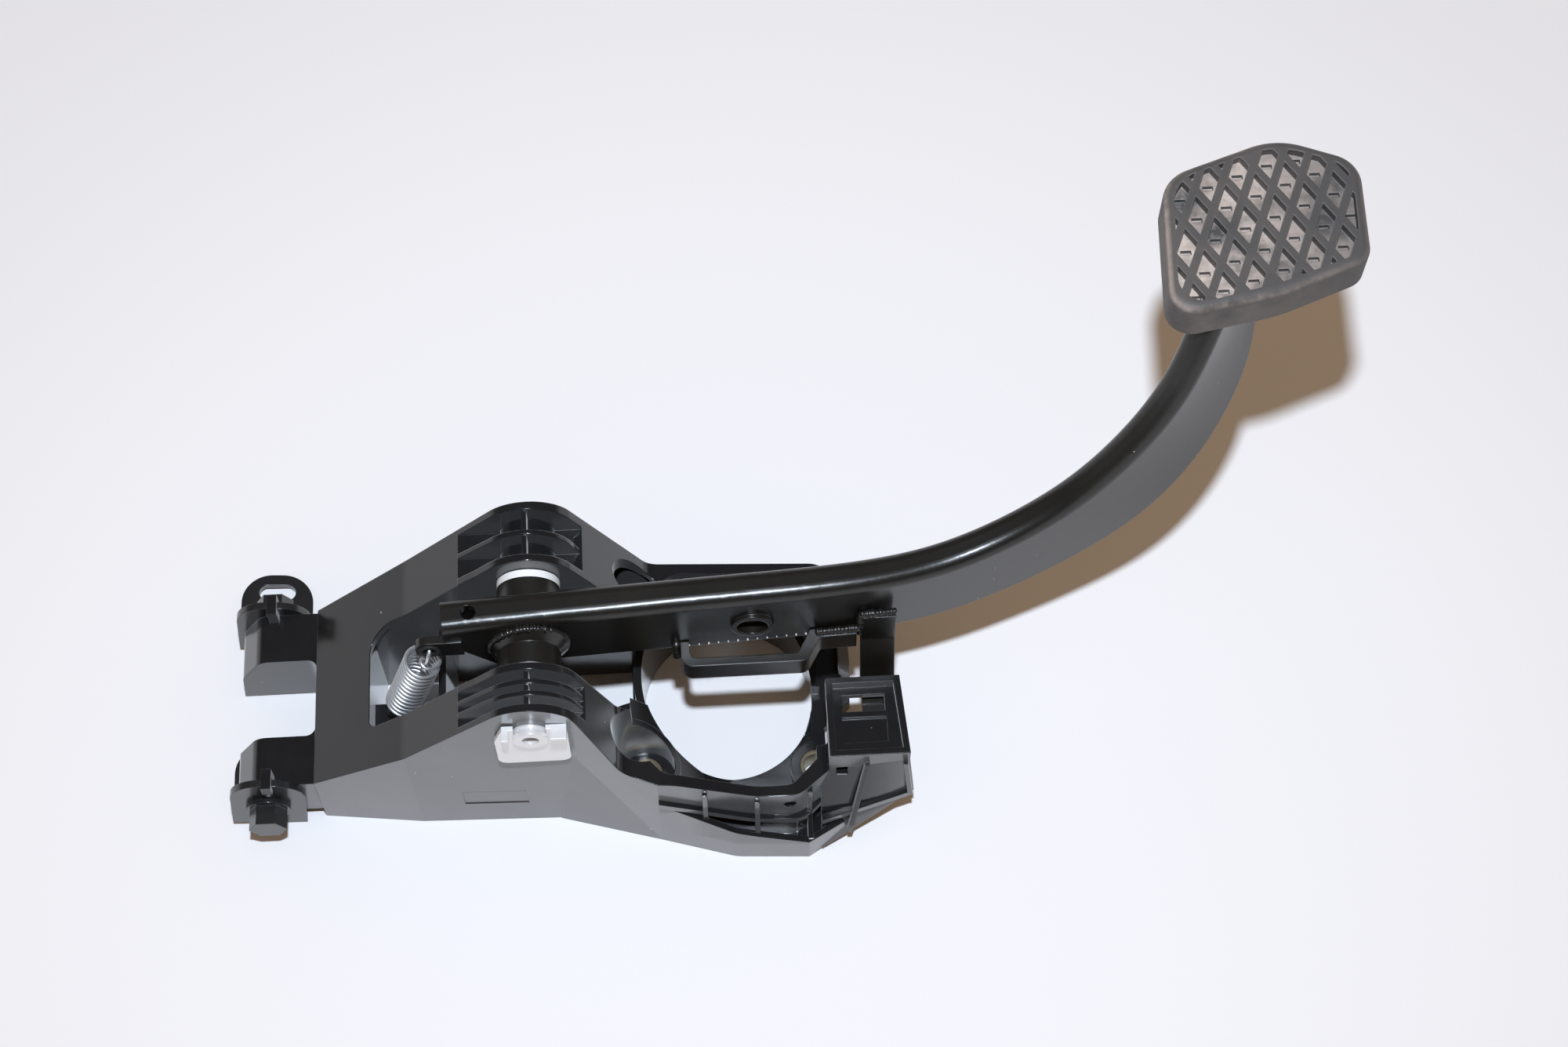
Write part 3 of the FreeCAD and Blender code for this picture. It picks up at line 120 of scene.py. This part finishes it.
def makeGrain():
    tree, ins, outs = newGroup(
        "surfaceGrain", "ShaderNodeTree",
        [("Scale", "NodeSocketFloat", 900.0), ("Depth", "NodeSocketFloat", 0.1),
         ("Edge Radius", "NodeSocketFloat", 0.0004)],
        [("Normal", "NodeSocketVector")],
    )
    coords = put(tree, "ShaderNodeTexCoord")
    noise = put(tree, "ShaderNodeTexNoise", {"Detail": 3.0, "Roughness": 0.55})
    bevel = put(tree, "ShaderNodeBevel", options={"samples": 6})
    bump = put(tree, "ShaderNodeBump", {"Distance": 0.0002})
    join(tree, coords.outputs["Object"], noise.inputs["Vector"])
    join(tree, ins.outputs["Scale"], noise.inputs["Scale"])
    join(tree, ins.outputs["Edge Radius"], bevel.inputs["Radius"])
    join(tree, ins.outputs["Depth"], bump.inputs["Strength"])
    join(tree, noise.outputs["Fac"], bump.inputs["Height"])
    join(tree, bevel.outputs["Normal"], bump.inputs["Normal"])
    join(tree, bump.outputs["Normal"], outs.inputs["Normal"])
    return tree


def makeSpecks():
    tree, ins, outs = newGroup(
        "dustSpecks", "ShaderNodeTree",
        [("Scale", "NodeSocketFloat", 220.0), ("Size", "NodeSocketFloat", 0.06),
         ("Share", "NodeSocketFloat", 0.25)],
        [("Mask", "NodeSocketFloat")],
    )
    coords = put(tree, "ShaderNodeTexCoord")
    cells = put(tree, "ShaderNodeTexVoronoi")
    random = put(tree, "ShaderNodeSeparateColor")
    join(tree, coords.outputs["Object"], cells.inputs["Vector"])
    join(tree, ins.outputs["Scale"], cells.inputs["Scale"])
    join(tree, cells.outputs["Color"], random.inputs["Color"])
    small = mathNode(tree, "LESS_THAN", cells.outputs["Distance"], ins.outputs["Size"])
    few = mathNode(tree, "LESS_THAN", random.outputs["Red"], ins.outputs["Share"])
    join(tree, mathNode(tree, "MULTIPLY", small, few), outs.inputs["Mask"])
    return tree


def makeFilm():
    tree, ins, outs = newGroup(
        "dustFilm", "ShaderNodeTree",
        [("Scale", "NodeSocketFloat", 40.0), ("Amount", "NodeSocketFloat", 0.2)],
        [("Mask", "NodeSocketFloat")],
    )
    coords = put(tree, "ShaderNodeTexCoord")
    noise = put(tree, "ShaderNodeTexNoise", {"Detail": 6.0, "Roughness": 0.65})
    normal = put(tree, "ShaderNodeNewGeometry")
    split = put(tree, "ShaderNodeSeparateXYZ")
    join(tree, coords.outputs["Object"], noise.inputs["Vector"])
    join(tree, ins.outputs["Scale"], noise.inputs["Scale"])
    join(tree, normal.outputs["Normal"], split.inputs["Vector"])
    facing = mathNode(tree, "MAXIMUM", split.outputs["Z"], 0.0)
    cloud = mathNode(tree, "MULTIPLY", noise.outputs["Fac"], facing)
    join(tree, mathNode(tree, "MULTIPLY", cloud, ins.outputs["Amount"], True), outs.inputs["Mask"])
    return tree


# edge mask for the pad's lighter rib edges, which are partly rubbed wear and partly a painted highlight
def makeWearAndHighlight():
    tree, ins, outs = newGroup(
        "edgeWearAndHighlight", "ShaderNodeTree",
        [("Radius", "NodeSocketFloat", 0.0005), ("Amount", "NodeSocketFloat", 1.0)],
        [("Mask", "NodeSocketFloat")],
    )
    bevel = put(tree, "ShaderNodeBevel", options={"samples": 6})
    normal = put(tree, "ShaderNodeNewGeometry")
    dot = put(tree, "ShaderNodeVectorMath", options={"operation": "DOT_PRODUCT"})
    join(tree, ins.outputs["Radius"], bevel.inputs["Radius"])
    join(tree, bevel.outputs["Normal"], dot.inputs[0])
    join(tree, normal.outputs["Normal"], dot.inputs[1])
    bend = mathNode(tree, "SUBTRACT", 1.0, dot.outputs["Value"])
    join(tree, mathNode(tree, "MULTIPLY", bend, ins.outputs["Amount"], True), outs.inputs["Mask"])
    return tree


grainGroup = makeGrain()
speckGroup = makeSpecks()
filmGroup = makeFilm()
wearAndHighlightGroup = makeWearAndHighlight()
print("shader groups made")


# Materials

finishes = {
    "nylon": {
        "colour": (0.005, 0.005, 0.006), "roughness": 0.17, "ior": 1.58, "grain": (1500.0, 0.04, 0.0005),
        # paintedReflection is the grey of a painted reflection of the floor on the near wall's outer face
        "paintedReflection": (0.095, 0.095, 0.10), "sheen": (0.3, 0.36),
        "specks": (170.0, 0.055, 0.12), "film": (55.0, 0.03), "dust": (0.42, 0.41, 0.40),
    },
    "paint": {
        "colour": (0.007, 0.0062, 0.0052), "roughness": 0.29, "ior": 1.58, "grain": (300.0, 0.12, 0.0005),
        "specks": (210.0, 0.05, 0.10), "film": (45.0, 0.03), "dust": (0.40, 0.36, 0.31),
    },
    "boltBlack": {
        "colour": (0.010, 0.010, 0.011), "roughness": 0.22, "ior": 1.8, "grain": (900.0, 0.05, 0.0004),
        "specks": (300.0, 0.05, 0.06), "film": (60.0, 0.03), "dust": (0.4, 0.39, 0.37),
    },
    "zincPlate": {
        "colour": (0.86, 0.86, 0.86), "roughness": 0.34, "ior": 1.6, "metallic": 0.35,
        "grain": (700.0, 0.05, 0.0003),
    },
    "zincWire": {
        "colour": (0.70, 0.72, 0.75), "roughness": 0.30, "ior": 1.6, "metallic": 0.8,
        "grain": (1200.0, 0.04, 0.0002),
    },
    "bushWhite": {
        "colour": (0.92, 0.92, 0.90), "roughness": 0.42, "ior": 1.5, "grain": (900.0, 0.03, 0.0003),
    },
    # colour darker than yellow zinc's own: painted shade for the sleeves down in the bracket's stud holes
    "shadedYellowZinc": {
        "colour": (0.20, 0.16, 0.10), "roughness": 0.38, "ior": 1.5, "metallic": 0.8,
        "grain": (800.0, 0.05, 0.0003),
    },
    "liner": {
        "colour": (0.014, 0.014, 0.015), "roughness": 0.6, "ior": 1.5, "grain": (900.0, 0.1, 0.0003),
    },
}


# where the painted reflection of the floor lies on the near wall, and how patchy it is
paintedReflectionLook = {
    "out": (-0.026, -0.032), "lattice": (-0.008, -0.016), "skirt": (0.015, 0.011),
    "turn": (0.70, 0.95), "cloudScale": 34.0, "clouds": (0.25, 0.7), "least": 0.72,
}


def paintedWallReflection(tree, look):  # painted reflection of the floor, as a patchy grey wash on the outside of the near wall
    coords = put(tree, "ShaderNodeTexCoord")
    place = put(tree, "ShaderNodeSeparateXYZ")
    join(tree, coords.outputs["Object"], place.inputs["Vector"])
    turned = put(tree, "ShaderNodeSeparateXYZ")
    join(tree, coords.outputs["Normal"], turned.inputs["Vector"])
    outside = span(tree, place.outputs["Y"], look["out"])
    facing = span(tree, mathNode(tree, "MULTIPLY", turned.outputs["Y"], -1.0), look["turn"])
    left = span(tree, place.outputs["X"], look["lattice"])
    low = span(tree, place.outputs["Z"], look["skirt"])
    area = mathNode(tree, "MAXIMUM", left, low)
    clouds = put(tree, "ShaderNodeTexNoise", {"Scale": look["cloudScale"], "Detail": 4.0, "Roughness": 0.5})
    join(tree, coords.outputs["Object"], clouds.inputs["Vector"])
    patchy = span(tree, clouds.outputs["Fac"], look["clouds"], look["least"], False)
    wall = mathNode(tree, "MULTIPLY", mathNode(tree, "MULTIPLY", outside, facing), area)
    return mathNode(tree, "MULTIPLY", wall, patchy)


def makeMaterial(name, finish):
    material = bpy.data.materials.new(name)
    material.use_nodes = True
    tree = material.node_tree
    surface = tree.nodes["Principled BSDF"]
    surface.inputs["Roughness"].default_value = finish["roughness"]
    surface.inputs["IOR"].default_value = finish["ior"]
    surface.inputs["Metallic"].default_value = finish.get("metallic", 0.0)
    surface.inputs["Base Color"].default_value = finish["colour"] + (1.0,)
    if "sheen" in finish:  # bloom of the glass fibres, seen at a low angle
        surface.inputs["Sheen Weight"].default_value = finish["sheen"][0]
        surface.inputs["Sheen Roughness"].default_value = finish["sheen"][1]
    scale, depth, radius = finish["grain"]
    grain = useGroup(tree, grainGroup, {"Scale": scale, "Depth": depth, "Edge Radius": radius})
    join(tree, grain.outputs["Normal"], surface.inputs["Normal"])
    if "specks" in finish:
        speckScale, speckSize, speckShare = finish["specks"]
        filmScale, filmAmount = finish["film"]
        specks = useGroup(tree, speckGroup, {"Scale": speckScale, "Size": speckSize, "Share": speckShare})
        film = useGroup(tree, filmGroup, {"Scale": filmScale, "Amount": filmAmount})
        cover = mathNode(tree, "MAXIMUM", specks.outputs["Mask"], film.outputs["Mask"])
        ground = finish["colour"]
        # the grey painted reflection on the near wall's outside is mixed into the base colour
        if "paintedReflection" in finish:
            ground = mixColour(tree, paintedWallReflection(tree, paintedReflectionLook), ground, finish["paintedReflection"])
        join(tree, mixColour(tree, cover, ground, finish["dust"]), surface.inputs["Base Color"])
    return material


padLook = {
    "top": 0.185, "recess": (0.0002, 0.0013), "roughness": 0.62, "grain": (900.0, 0.28, 0.0007),
    "patchScale": 62.0, "patches": (0.33, 0.56), "fineScale": 420.0,
    "across": (0.200, 0.158), "leastAcross": 0.3,  # dirt grows from the right edge to the left
    # lighter rib edges: partly rubbed wear, partly a painted highlight
    "sideDust": 0.12, "film": 0.10, "wearAndHighlight": (0.0006, 2.6),
    "rubber": (0.066, 0.063, 0.062), "wornAndHighlit": (0.46, 0.43, 0.41),
    "tan": (0.84, 0.70, 0.61), "earth": (0.34, 0.28, 0.24),
}


def makePadMaterial(look):
    material = bpy.data.materials.new("padRubber")
    material.use_nodes = True
    tree = material.node_tree
    surface = tree.nodes["Principled BSDF"]
    surface.inputs["Roughness"].default_value = look["roughness"]
    coords = put(tree, "ShaderNodeTexCoord")
    split = put(tree, "ShaderNodeSeparateXYZ")
    join(tree, coords.outputs["Object"], split.inputs["Vector"])
    below = mathNode(tree, "SUBTRACT", look["top"], split.outputs["Z"])
    sunk = span(tree, below, look["recess"], smooth=False)
    patches = put(tree, "ShaderNodeTexNoise", {"Scale": look["patchScale"], "Detail": 5.0, "Roughness": 0.6})
    join(tree, coords.outputs["Object"], patches.inputs["Vector"])
    spread = span(tree, patches.outputs["Fac"], look["patches"], smooth=False)
    across = span(tree, split.outputs["X"], look["across"], look["leastAcross"], False)
    turned = put(tree, "ShaderNodeSeparateXYZ")
    join(tree, coords.outputs["Normal"], turned.inputs["Vector"])
    facing = mathNode(tree, "MAXIMUM", turned.outputs["Z"], look["sideDust"])
    spotted = mathNode(tree, "MULTIPLY", spread, across)
    dusty = mathNode(tree, "MULTIPLY", spotted, facing)
    fine = put(tree, "ShaderNodeTexNoise", {"Scale": look["fineScale"], "Detail": 4.0, "Roughness": 0.7})
    join(tree, coords.outputs["Object"], fine.inputs["Vector"])
    earthTan = mixColour(tree, fine.outputs["Fac"], look["earth"], look["tan"])
    inRecess = mathNode(tree, "MULTIPLY", dusty, sunk)
    floorColour = mixColour(tree, inRecess, look["rubber"], earthTan)
    film = mathNode(tree, "MULTIPLY", dusty, look["film"])
    wearAndHighlight = useGroup(tree, wearAndHighlightGroup, {"Radius": look["wearAndHighlight"][0], "Amount": look["wearAndHighlight"][1]})
    wornAndHighlit = mathNode(tree, "MULTIPLY", wearAndHighlight.outputs["Mask"], fine.outputs["Fac"])
    withFilm = mixColour(tree, film, floorColour, look["earth"])
    # edges lightened, partly as wear and partly as a painted highlight
    join(tree, mixColour(tree, wornAndHighlit, withFilm, look["wornAndHighlit"]), surface.inputs["Base Color"])
    scale, depth, radius = look["grain"]
    grain = useGroup(tree, grainGroup, {"Scale": scale, "Depth": depth, "Edge Radius": radius})
    join(tree, grain.outputs["Normal"], surface.inputs["Normal"])
    return material


materials = {name: makeMaterial(name, finish) for name, finish in finishes.items()}
materials["padRubber"] = makePadMaterial(padLook)

coats = {
    "nylon": ["pedal_bracket"],
    "paint": ["pedal_arm", "pivot_tube", "pushrod_strap", "switch_actuator", "pad_plate"],
    "boltBlack": ["near_foot_bracket", "far_foot_bracket", "near_foot_bolt", "far_foot_bolt"],
    "zincPlate": ["pin_retaining_plate", "pivot_pin", "near_foot_nut", "far_foot_nut"],
    "zincWire": ["return_spring"],
    "bushWhite": ["near_bush", "far_bush"],
    "shadedYellowZinc": [
        "near_left_stud_sleeve", "near_right_stud_sleeve", "far_left_stud_sleeve", "far_right_stud_sleeve",
    ],
    "liner": ["spring_grommet"],
    "padRubber": ["pedal_pad"],
}
for coat, members in coats.items():
    for member in members:
        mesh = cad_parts[member].data
        mesh.materials.clear()
        mesh.materials.append(materials[coat])
print("materials made")


# Geometry node trees

def makeWireTree():
    tree, ins, outs = newGroup(
        "wireAlongPath", "GeometryNodeTree",
        [("Geometry", "NodeSocketGeometry", None), ("Wire Radius", "NodeSocketFloat", 0.001),
         ("Sides", "NodeSocketInt", 12), ("Material", "NodeSocketMaterial", None)],
        [("Geometry", "NodeSocketGeometry")],
    )
    ring = put(tree, "GeometryNodeCurvePrimitiveCircle")
    sweep = put(tree, "GeometryNodeCurveToMesh", {"Fill Caps": True})
    smooth = put(tree, "GeometryNodeSetShadeSmooth")
    realize = put(tree, "GeometryNodeRealizeInstances")
    paint = put(tree, "GeometryNodeSetMaterial")
    join(tree, ins.outputs["Wire Radius"], ring.inputs["Radius"])
    join(tree, ins.outputs["Sides"], ring.inputs["Resolution"])
    join(tree, ins.outputs["Geometry"], sweep.inputs["Curve"])
    join(tree, ring.outputs["Curve"], sweep.inputs["Profile Curve"])
    join(tree, sweep.outputs["Mesh"], smooth.inputs["Geometry"])
    join(tree, smooth.outputs["Geometry"], realize.inputs["Geometry"])
    join(tree, realize.outputs["Geometry"], paint.inputs["Geometry"])
    join(tree, ins.outputs["Material"], paint.inputs["Material"])
    join(tree, paint.outputs["Geometry"], outs.inputs["Geometry"])
    return tree


beadShape = {"least": 0.75, "most": 1.15, "flat": 0.7, "rounds": 2}


def makeBeadTree(shape):
    tree, ins, outs = newGroup(
        "weldAlongPath", "GeometryNodeTree",
        [("Geometry", "NodeSocketGeometry", None), ("Spacing", "NodeSocketFloat", 0.0012),
         ("Bead Size", "NodeSocketFloat", 0.0016), ("Seed", "NodeSocketInt", 1),
         ("Material", "NodeSocketMaterial", None)],
        [("Geometry", "NodeSocketGeometry")],
    )
    steps = put(tree, "GeometryNodeResampleCurve", options={"mode": "LENGTH"})
    points = put(tree, "GeometryNodeCurveToPoints", options={"mode": "EVALUATED"})
    bead = put(tree, "GeometryNodeMeshIcoSphere", {"Subdivisions": shape["rounds"]})
    smooth = put(tree, "GeometryNodeSetShadeSmooth")
    place = put(tree, "GeometryNodeInstanceOnPoints")
    vary = put(tree, "FunctionNodeRandomValue", options={"data_type": "FLOAT"})
    vary.inputs[2].default_value = shape["least"]
    vary.inputs[3].default_value = shape["most"]
    flat = put(tree, "ShaderNodeCombineXYZ", {"X": 1.0, "Y": 1.0, "Z": shape["flat"]})
    scale = put(tree, "ShaderNodeVectorMath", options={"operation": "SCALE"})
    realize = put(tree, "GeometryNodeRealizeInstances")
    paint = put(tree, "GeometryNodeSetMaterial")
    join(tree, ins.outputs["Geometry"], steps.inputs["Curve"])
    join(tree, ins.outputs["Spacing"], steps.inputs["Length"])
    join(tree, steps.outputs["Curve"], points.inputs["Curve"])
    join(tree, ins.outputs["Bead Size"], bead.inputs["Radius"])
    join(tree, bead.outputs["Mesh"], smooth.inputs["Geometry"])
    join(tree, points.outputs["Points"], place.inputs["Points"])
    join(tree, smooth.outputs["Geometry"], place.inputs["Instance"])
    join(tree, points.outputs["Rotation"], place.inputs["Rotation"])
    join(tree, ins.outputs["Seed"], vary.inputs["Seed"])
    join(tree, flat.outputs["Vector"], scale.inputs[0])
    join(tree, vary.outputs[1], scale.inputs["Scale"])
    join(tree, scale.outputs["Vector"], place.inputs["Scale"])
    join(tree, place.outputs["Instances"], realize.inputs["Geometry"])
    join(tree, realize.outputs["Geometry"], paint.inputs["Geometry"])
    join(tree, ins.outputs["Material"], paint.inputs["Material"])
    join(tree, paint.outputs["Geometry"], outs.inputs["Geometry"])
    return tree


wireTree = makeWireTree()
beadTree = makeBeadTree(beadShape)
print("geometry trees made")


def pathObject(name, paths):
    curve = bpy.data.curves.new(name + "Path", "CURVE")
    curve.dimensions = "3D"
    for points in paths:
        spline = curve.splines.new("POLY")
        spline.points.add(len(points) - 1)
        for target, point in zip(spline.points, points):
            target.co = (*point, 1.0)
    holder = bpy.data.objects.new(name + "Path", curve)
    bpy.context.scene.collection.objects.link(holder)
    return holder


def grow(name, paths, tree, values):
    holder = pathObject(name, paths)
    modifier = holder.modifiers.new("grow", "NODES")
    modifier.node_group = tree
    for item in tree.interface.items_tree:
        if item.in_out == "INPUT" and item.name in values:
            modifier[item.identifier] = values[item.name]
    bpy.context.view_layer.update()
    graph = bpy.context.evaluated_depsgraph_get()
    mesh = bpy.data.meshes.new_from_object(holder.evaluated_get(graph))
    mesh.name = name
    piece = bpy.data.objects.new(name, mesh)
    bpy.context.scene.collection.objects.link(piece)
    bpy.data.objects.remove(holder)
    print(name, len(mesh.polygons), "faces")
    return piece


# Return spring

springLook = {
    "low": (-112.85, -11.79, 36.67), "high": (-97.0, -6.47, 80.0),
    "coil": 5.7, "wire": 0.66, "sides": 12, "turns": 14, "pitch": 2.19, "steps": 28,
    "loop": 3.8, "loopTurn": 310.0, "loopStart": -130.0, "loopSteps": 14,
    "lead": 0.5,  # turns over which the coil opens from its hook
}


def springPath(look):
    low, high = Vector(look["low"]), Vector(look["high"])
    axis = (high - low).normalized()
    lateral = (Vector((0, 1, 0)) - axis * axis.y).normalized()
    third = axis.cross(lateral)
    length = (high - low).length
    coil = look["turns"] * look["pitch"]
    start = (length - coil) / 2
    points = []
    loop = look["loop"]
    last = look["loopSteps"]
    for step in range(last + 1):  # loop round the post
        angle = math.radians(look["loopStart"] + look["loopTurn"] * step / last)
        points.append(low + axis * (loop - loop * math.cos(angle)) + third * loop * math.sin(angle))
    count = look["turns"] * look["steps"]
    for step in range(count + 1):
        share = step / count
        turn = 2 * math.pi * look["turns"] * share
        rise = start + coil * share
        fromEnd = min(share, 1 - share) * look["turns"]
        radius = look["coil"] * min(1.0, fromEnd / look["lead"])
        points.append(low + axis * rise + lateral * radius * math.sin(turn) + third * radius * math.cos(turn))
    for step in range(last + 1):  # loop through the tab
        angle = math.radians(180 - look["loopTurn"] * step / last)
        points.append(high - axis * (loop - loop * math.cos(angle)) + lateral * loop * math.sin(angle))
    return [p * milli for p in points]


spring = grow("returnSpring", [springPath(springLook)], wireTree, {
    "Wire Radius": springLook["wire"] * milli,
    "Sides": springLook["sides"],
    "Material": materials["zincWire"],
})
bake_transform(spring)
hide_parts("return_spring")
print("spring made")


# Weld beads

armFace = {"x": -92.0, "y": -7.7, "slope": 5.5 / 102.0}  # near face of the arm, seen from above
weldLook = {"spacing": 1.1, "size": 1.5, "seed": 3}
spatterLook = {"spacing": 3.1, "size": 0.42, "seed": 8, "x": (-12.0, 0.0, 14.0, 27.0), "out": 1.5, "z": 67.0}
strapLeg = {"x": -16.4, "out": 0.3, "z": (57.5, 60.0, 63.0, 66.5)}
strapTail = {"x": (31.0, 37.0, 44.0), "out": 1.5, "z": 67.4}
actuatorTop = {"x": (45.8, 49.0, 53.0, 56.6), "out": 0.9, "z": 76.4}
actuatorEdge = {"x": 45.4, "out": 0.8, "z": (76.0, 72.0, 68.0, 63.0)}
tubeRing = {"x": -64.5, "z": 78.0, "radius": 12.3, "out": 0.6, "steps": 36}


def onFace(x, out, z):  # point that stands out from the arm's near face
    return metres((x, armFace["y"] + armFace["slope"] * (x - armFace["x"]) - out, z))


def levelPath(place):
    return [onFace(x, place["out"], place["z"]) for x in place["x"]]


def uprightPath(place):
    return [onFace(place["x"], place["out"], z) for z in place["z"]]


def ringPath(ring):
    points = []
    for step in range(ring["steps"] + 1):
        angle = 2 * math.pi * step / ring["steps"]
        x = ring["x"] + ring["radius"] * math.cos(angle)
        points.append(onFace(x, ring["out"], ring["z"] + ring["radius"] * math.sin(angle)))
    return points


def growBeads(name, paths, look, material):
    return grow(name, paths, beadTree, {
        "Spacing": look["spacing"] * milli,
        "Bead Size": look["size"] * milli,
        "Seed": look["seed"],
        "Material": material,
    })


weldPaths = [
    uprightPath(strapLeg),
    levelPath(strapTail),
    levelPath(actuatorTop),
    uprightPath(actuatorEdge),
    ringPath(tubeRing),
]
welds = growBeads("armWelds", weldPaths, weldLook, materials["paint"])
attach(welds, "pedal")

spatter = growBeads("weldSpatter", [levelPath(spatterLook)], spatterLook, materials["zincPlate"])
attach(spatter, "pedal")
print("welds made")


# Floor, light and camera

floorLook = {
    "half": 3.0, "colour": (0.93, 0.935, 0.95), "roughness": 0.5, "shine": 0.15,
    "middle": (0.02, 0.08, 0.0), "fade": (0.30, 0.75),
}
lampLook = {
    "place": (0.0055, -0.2568, 1.0887), "aim": (0.0, 0.75, 0.0), "size": 0.045,
    "energy": 13.6, "colour": (0.80, 0.885, 1.0),
}
skyLook = {
    "fill": (0.27, 0.19, 0.125), "pale": (0.84, 0.85, 0.875), "ceiling": (0.075, 0.072, 0.072),
    "rise": (0.02, 0.25),
}
cameraLook = {
    "place": (-0.0014, -0.3804, 0.8910), "aim": (0.0253, 0.4533, -0.8910), "lens": 62.28, "sensor": 36.0,
    "clip": (0.01, 20.0),
}


def seenRays(tree):  # rays that show the pale surroundings
    rays = put(tree, "ShaderNodeLightPath")
    seen = mathNode(tree, "ADD", rays.outputs["Is Camera Ray"], rays.outputs["Is Glossy Ray"])
    return mathNode(tree, "ADD", seen, rays.outputs["Is Transmission Ray"], True)


def makeFloor(look, pale):
    half = look["half"]
    mesh = bpy.data.meshes.new("floor")
    corners = [(-half, -half, 0), (half, -half, 0), (half, half, 0), (-half, half, 0)]
    mesh.from_pydata(corners, [], [(0, 1, 2, 3)])
    floor = bpy.data.objects.new("floor", mesh)
    bpy.context.scene.collection.objects.link(floor)
    material = bpy.data.materials.new("tableWhite")
    material.use_nodes = True
    tree = material.node_tree
    surface = tree.nodes["Principled BSDF"]
    surface.inputs["Roughness"].default_value = look["roughness"]
    surface.inputs["Specular IOR Level"].default_value = look["shine"]
    surface.inputs["Base Color"].default_value = look["colour"] + (1.0,)
    coords = put(tree, "ShaderNodeTexCoord")
    apart = put(tree, "ShaderNodeVectorMath", options={"operation": "DISTANCE"})
    apart.inputs[1].default_value = look["middle"]
    join(tree, coords.outputs["Object"], apart.inputs[0])
    fade = span(tree, apart.outputs["Value"], look["fade"])
    far = put(tree, "ShaderNodeEmission", {"Color": pale + (1.0,)})
    blend = put(tree, "ShaderNodeMixShader")
    join(tree, mathNode(tree, "MULTIPLY", fade, seenRays(tree)), blend.inputs["Fac"])
    join(tree, surface.outputs["BSDF"], blend.inputs[1])
    join(tree, far.outputs["Emission"], blend.inputs[2])
    join(tree, blend.outputs["Shader"], tree.nodes["Material Output"].inputs["Surface"])
    mesh.materials.append(material)


def makeLamp(look):
    lamp = bpy.data.lights.new("flash", "AREA")
    lamp.shape = "DISK"
    lamp.size = look["size"]
    lamp.energy = look["energy"]
    lamp.color = look["colour"]
    holder = bpy.data.objects.new("flash", lamp)
    holder.location = look["place"]
    direction = Vector(look["aim"]) - Vector(look["place"])
    holder.rotation_euler = direction.to_track_quat("-Z", "Y").to_euler()
    bpy.context.scene.collection.objects.link(holder)


def makeSky(look):
    world = bpy.data.worlds.new("room")
    world.use_nodes = True
    tree = world.node_tree
    coords = put(tree, "ShaderNodeTexCoord")
    split = put(tree, "ShaderNodeSeparateXYZ")
    join(tree, coords.outputs["Generated"], split.inputs["Vector"])
    height = span(tree, split.outputs["Z"], look["rise"])
    room = mixColour(tree, height, look["pale"], look["ceiling"])
    shade = mixColour(tree, seenRays(tree), look["fill"], room)
    join(tree, shade, tree.nodes["Background"].inputs["Color"])
    bpy.context.scene.world = world


def makeCamera(look):
    camera = bpy.data.cameras.new("camera")
    camera.lens = look["lens"]
    camera.sensor_width = look["sensor"]
    camera.sensor_fit = "HORIZONTAL"
    camera.clip_start, camera.clip_end = look["clip"]
    holder = bpy.data.objects.new("camera", camera)
    holder.location = look["place"]
    holder.rotation_euler = Vector(look["aim"]).to_track_quat("-Z", "Y").to_euler()
    bpy.context.scene.collection.objects.link(holder)
    bpy.context.scene.camera = holder


makeFloor(floorLook, skyLook["pale"])
makeLamp(lampLook)
makeSky(skyLook)
makeCamera(cameraLook)
bpy.context.scene.view_settings.view_transform = "Standard"
print("stage made")
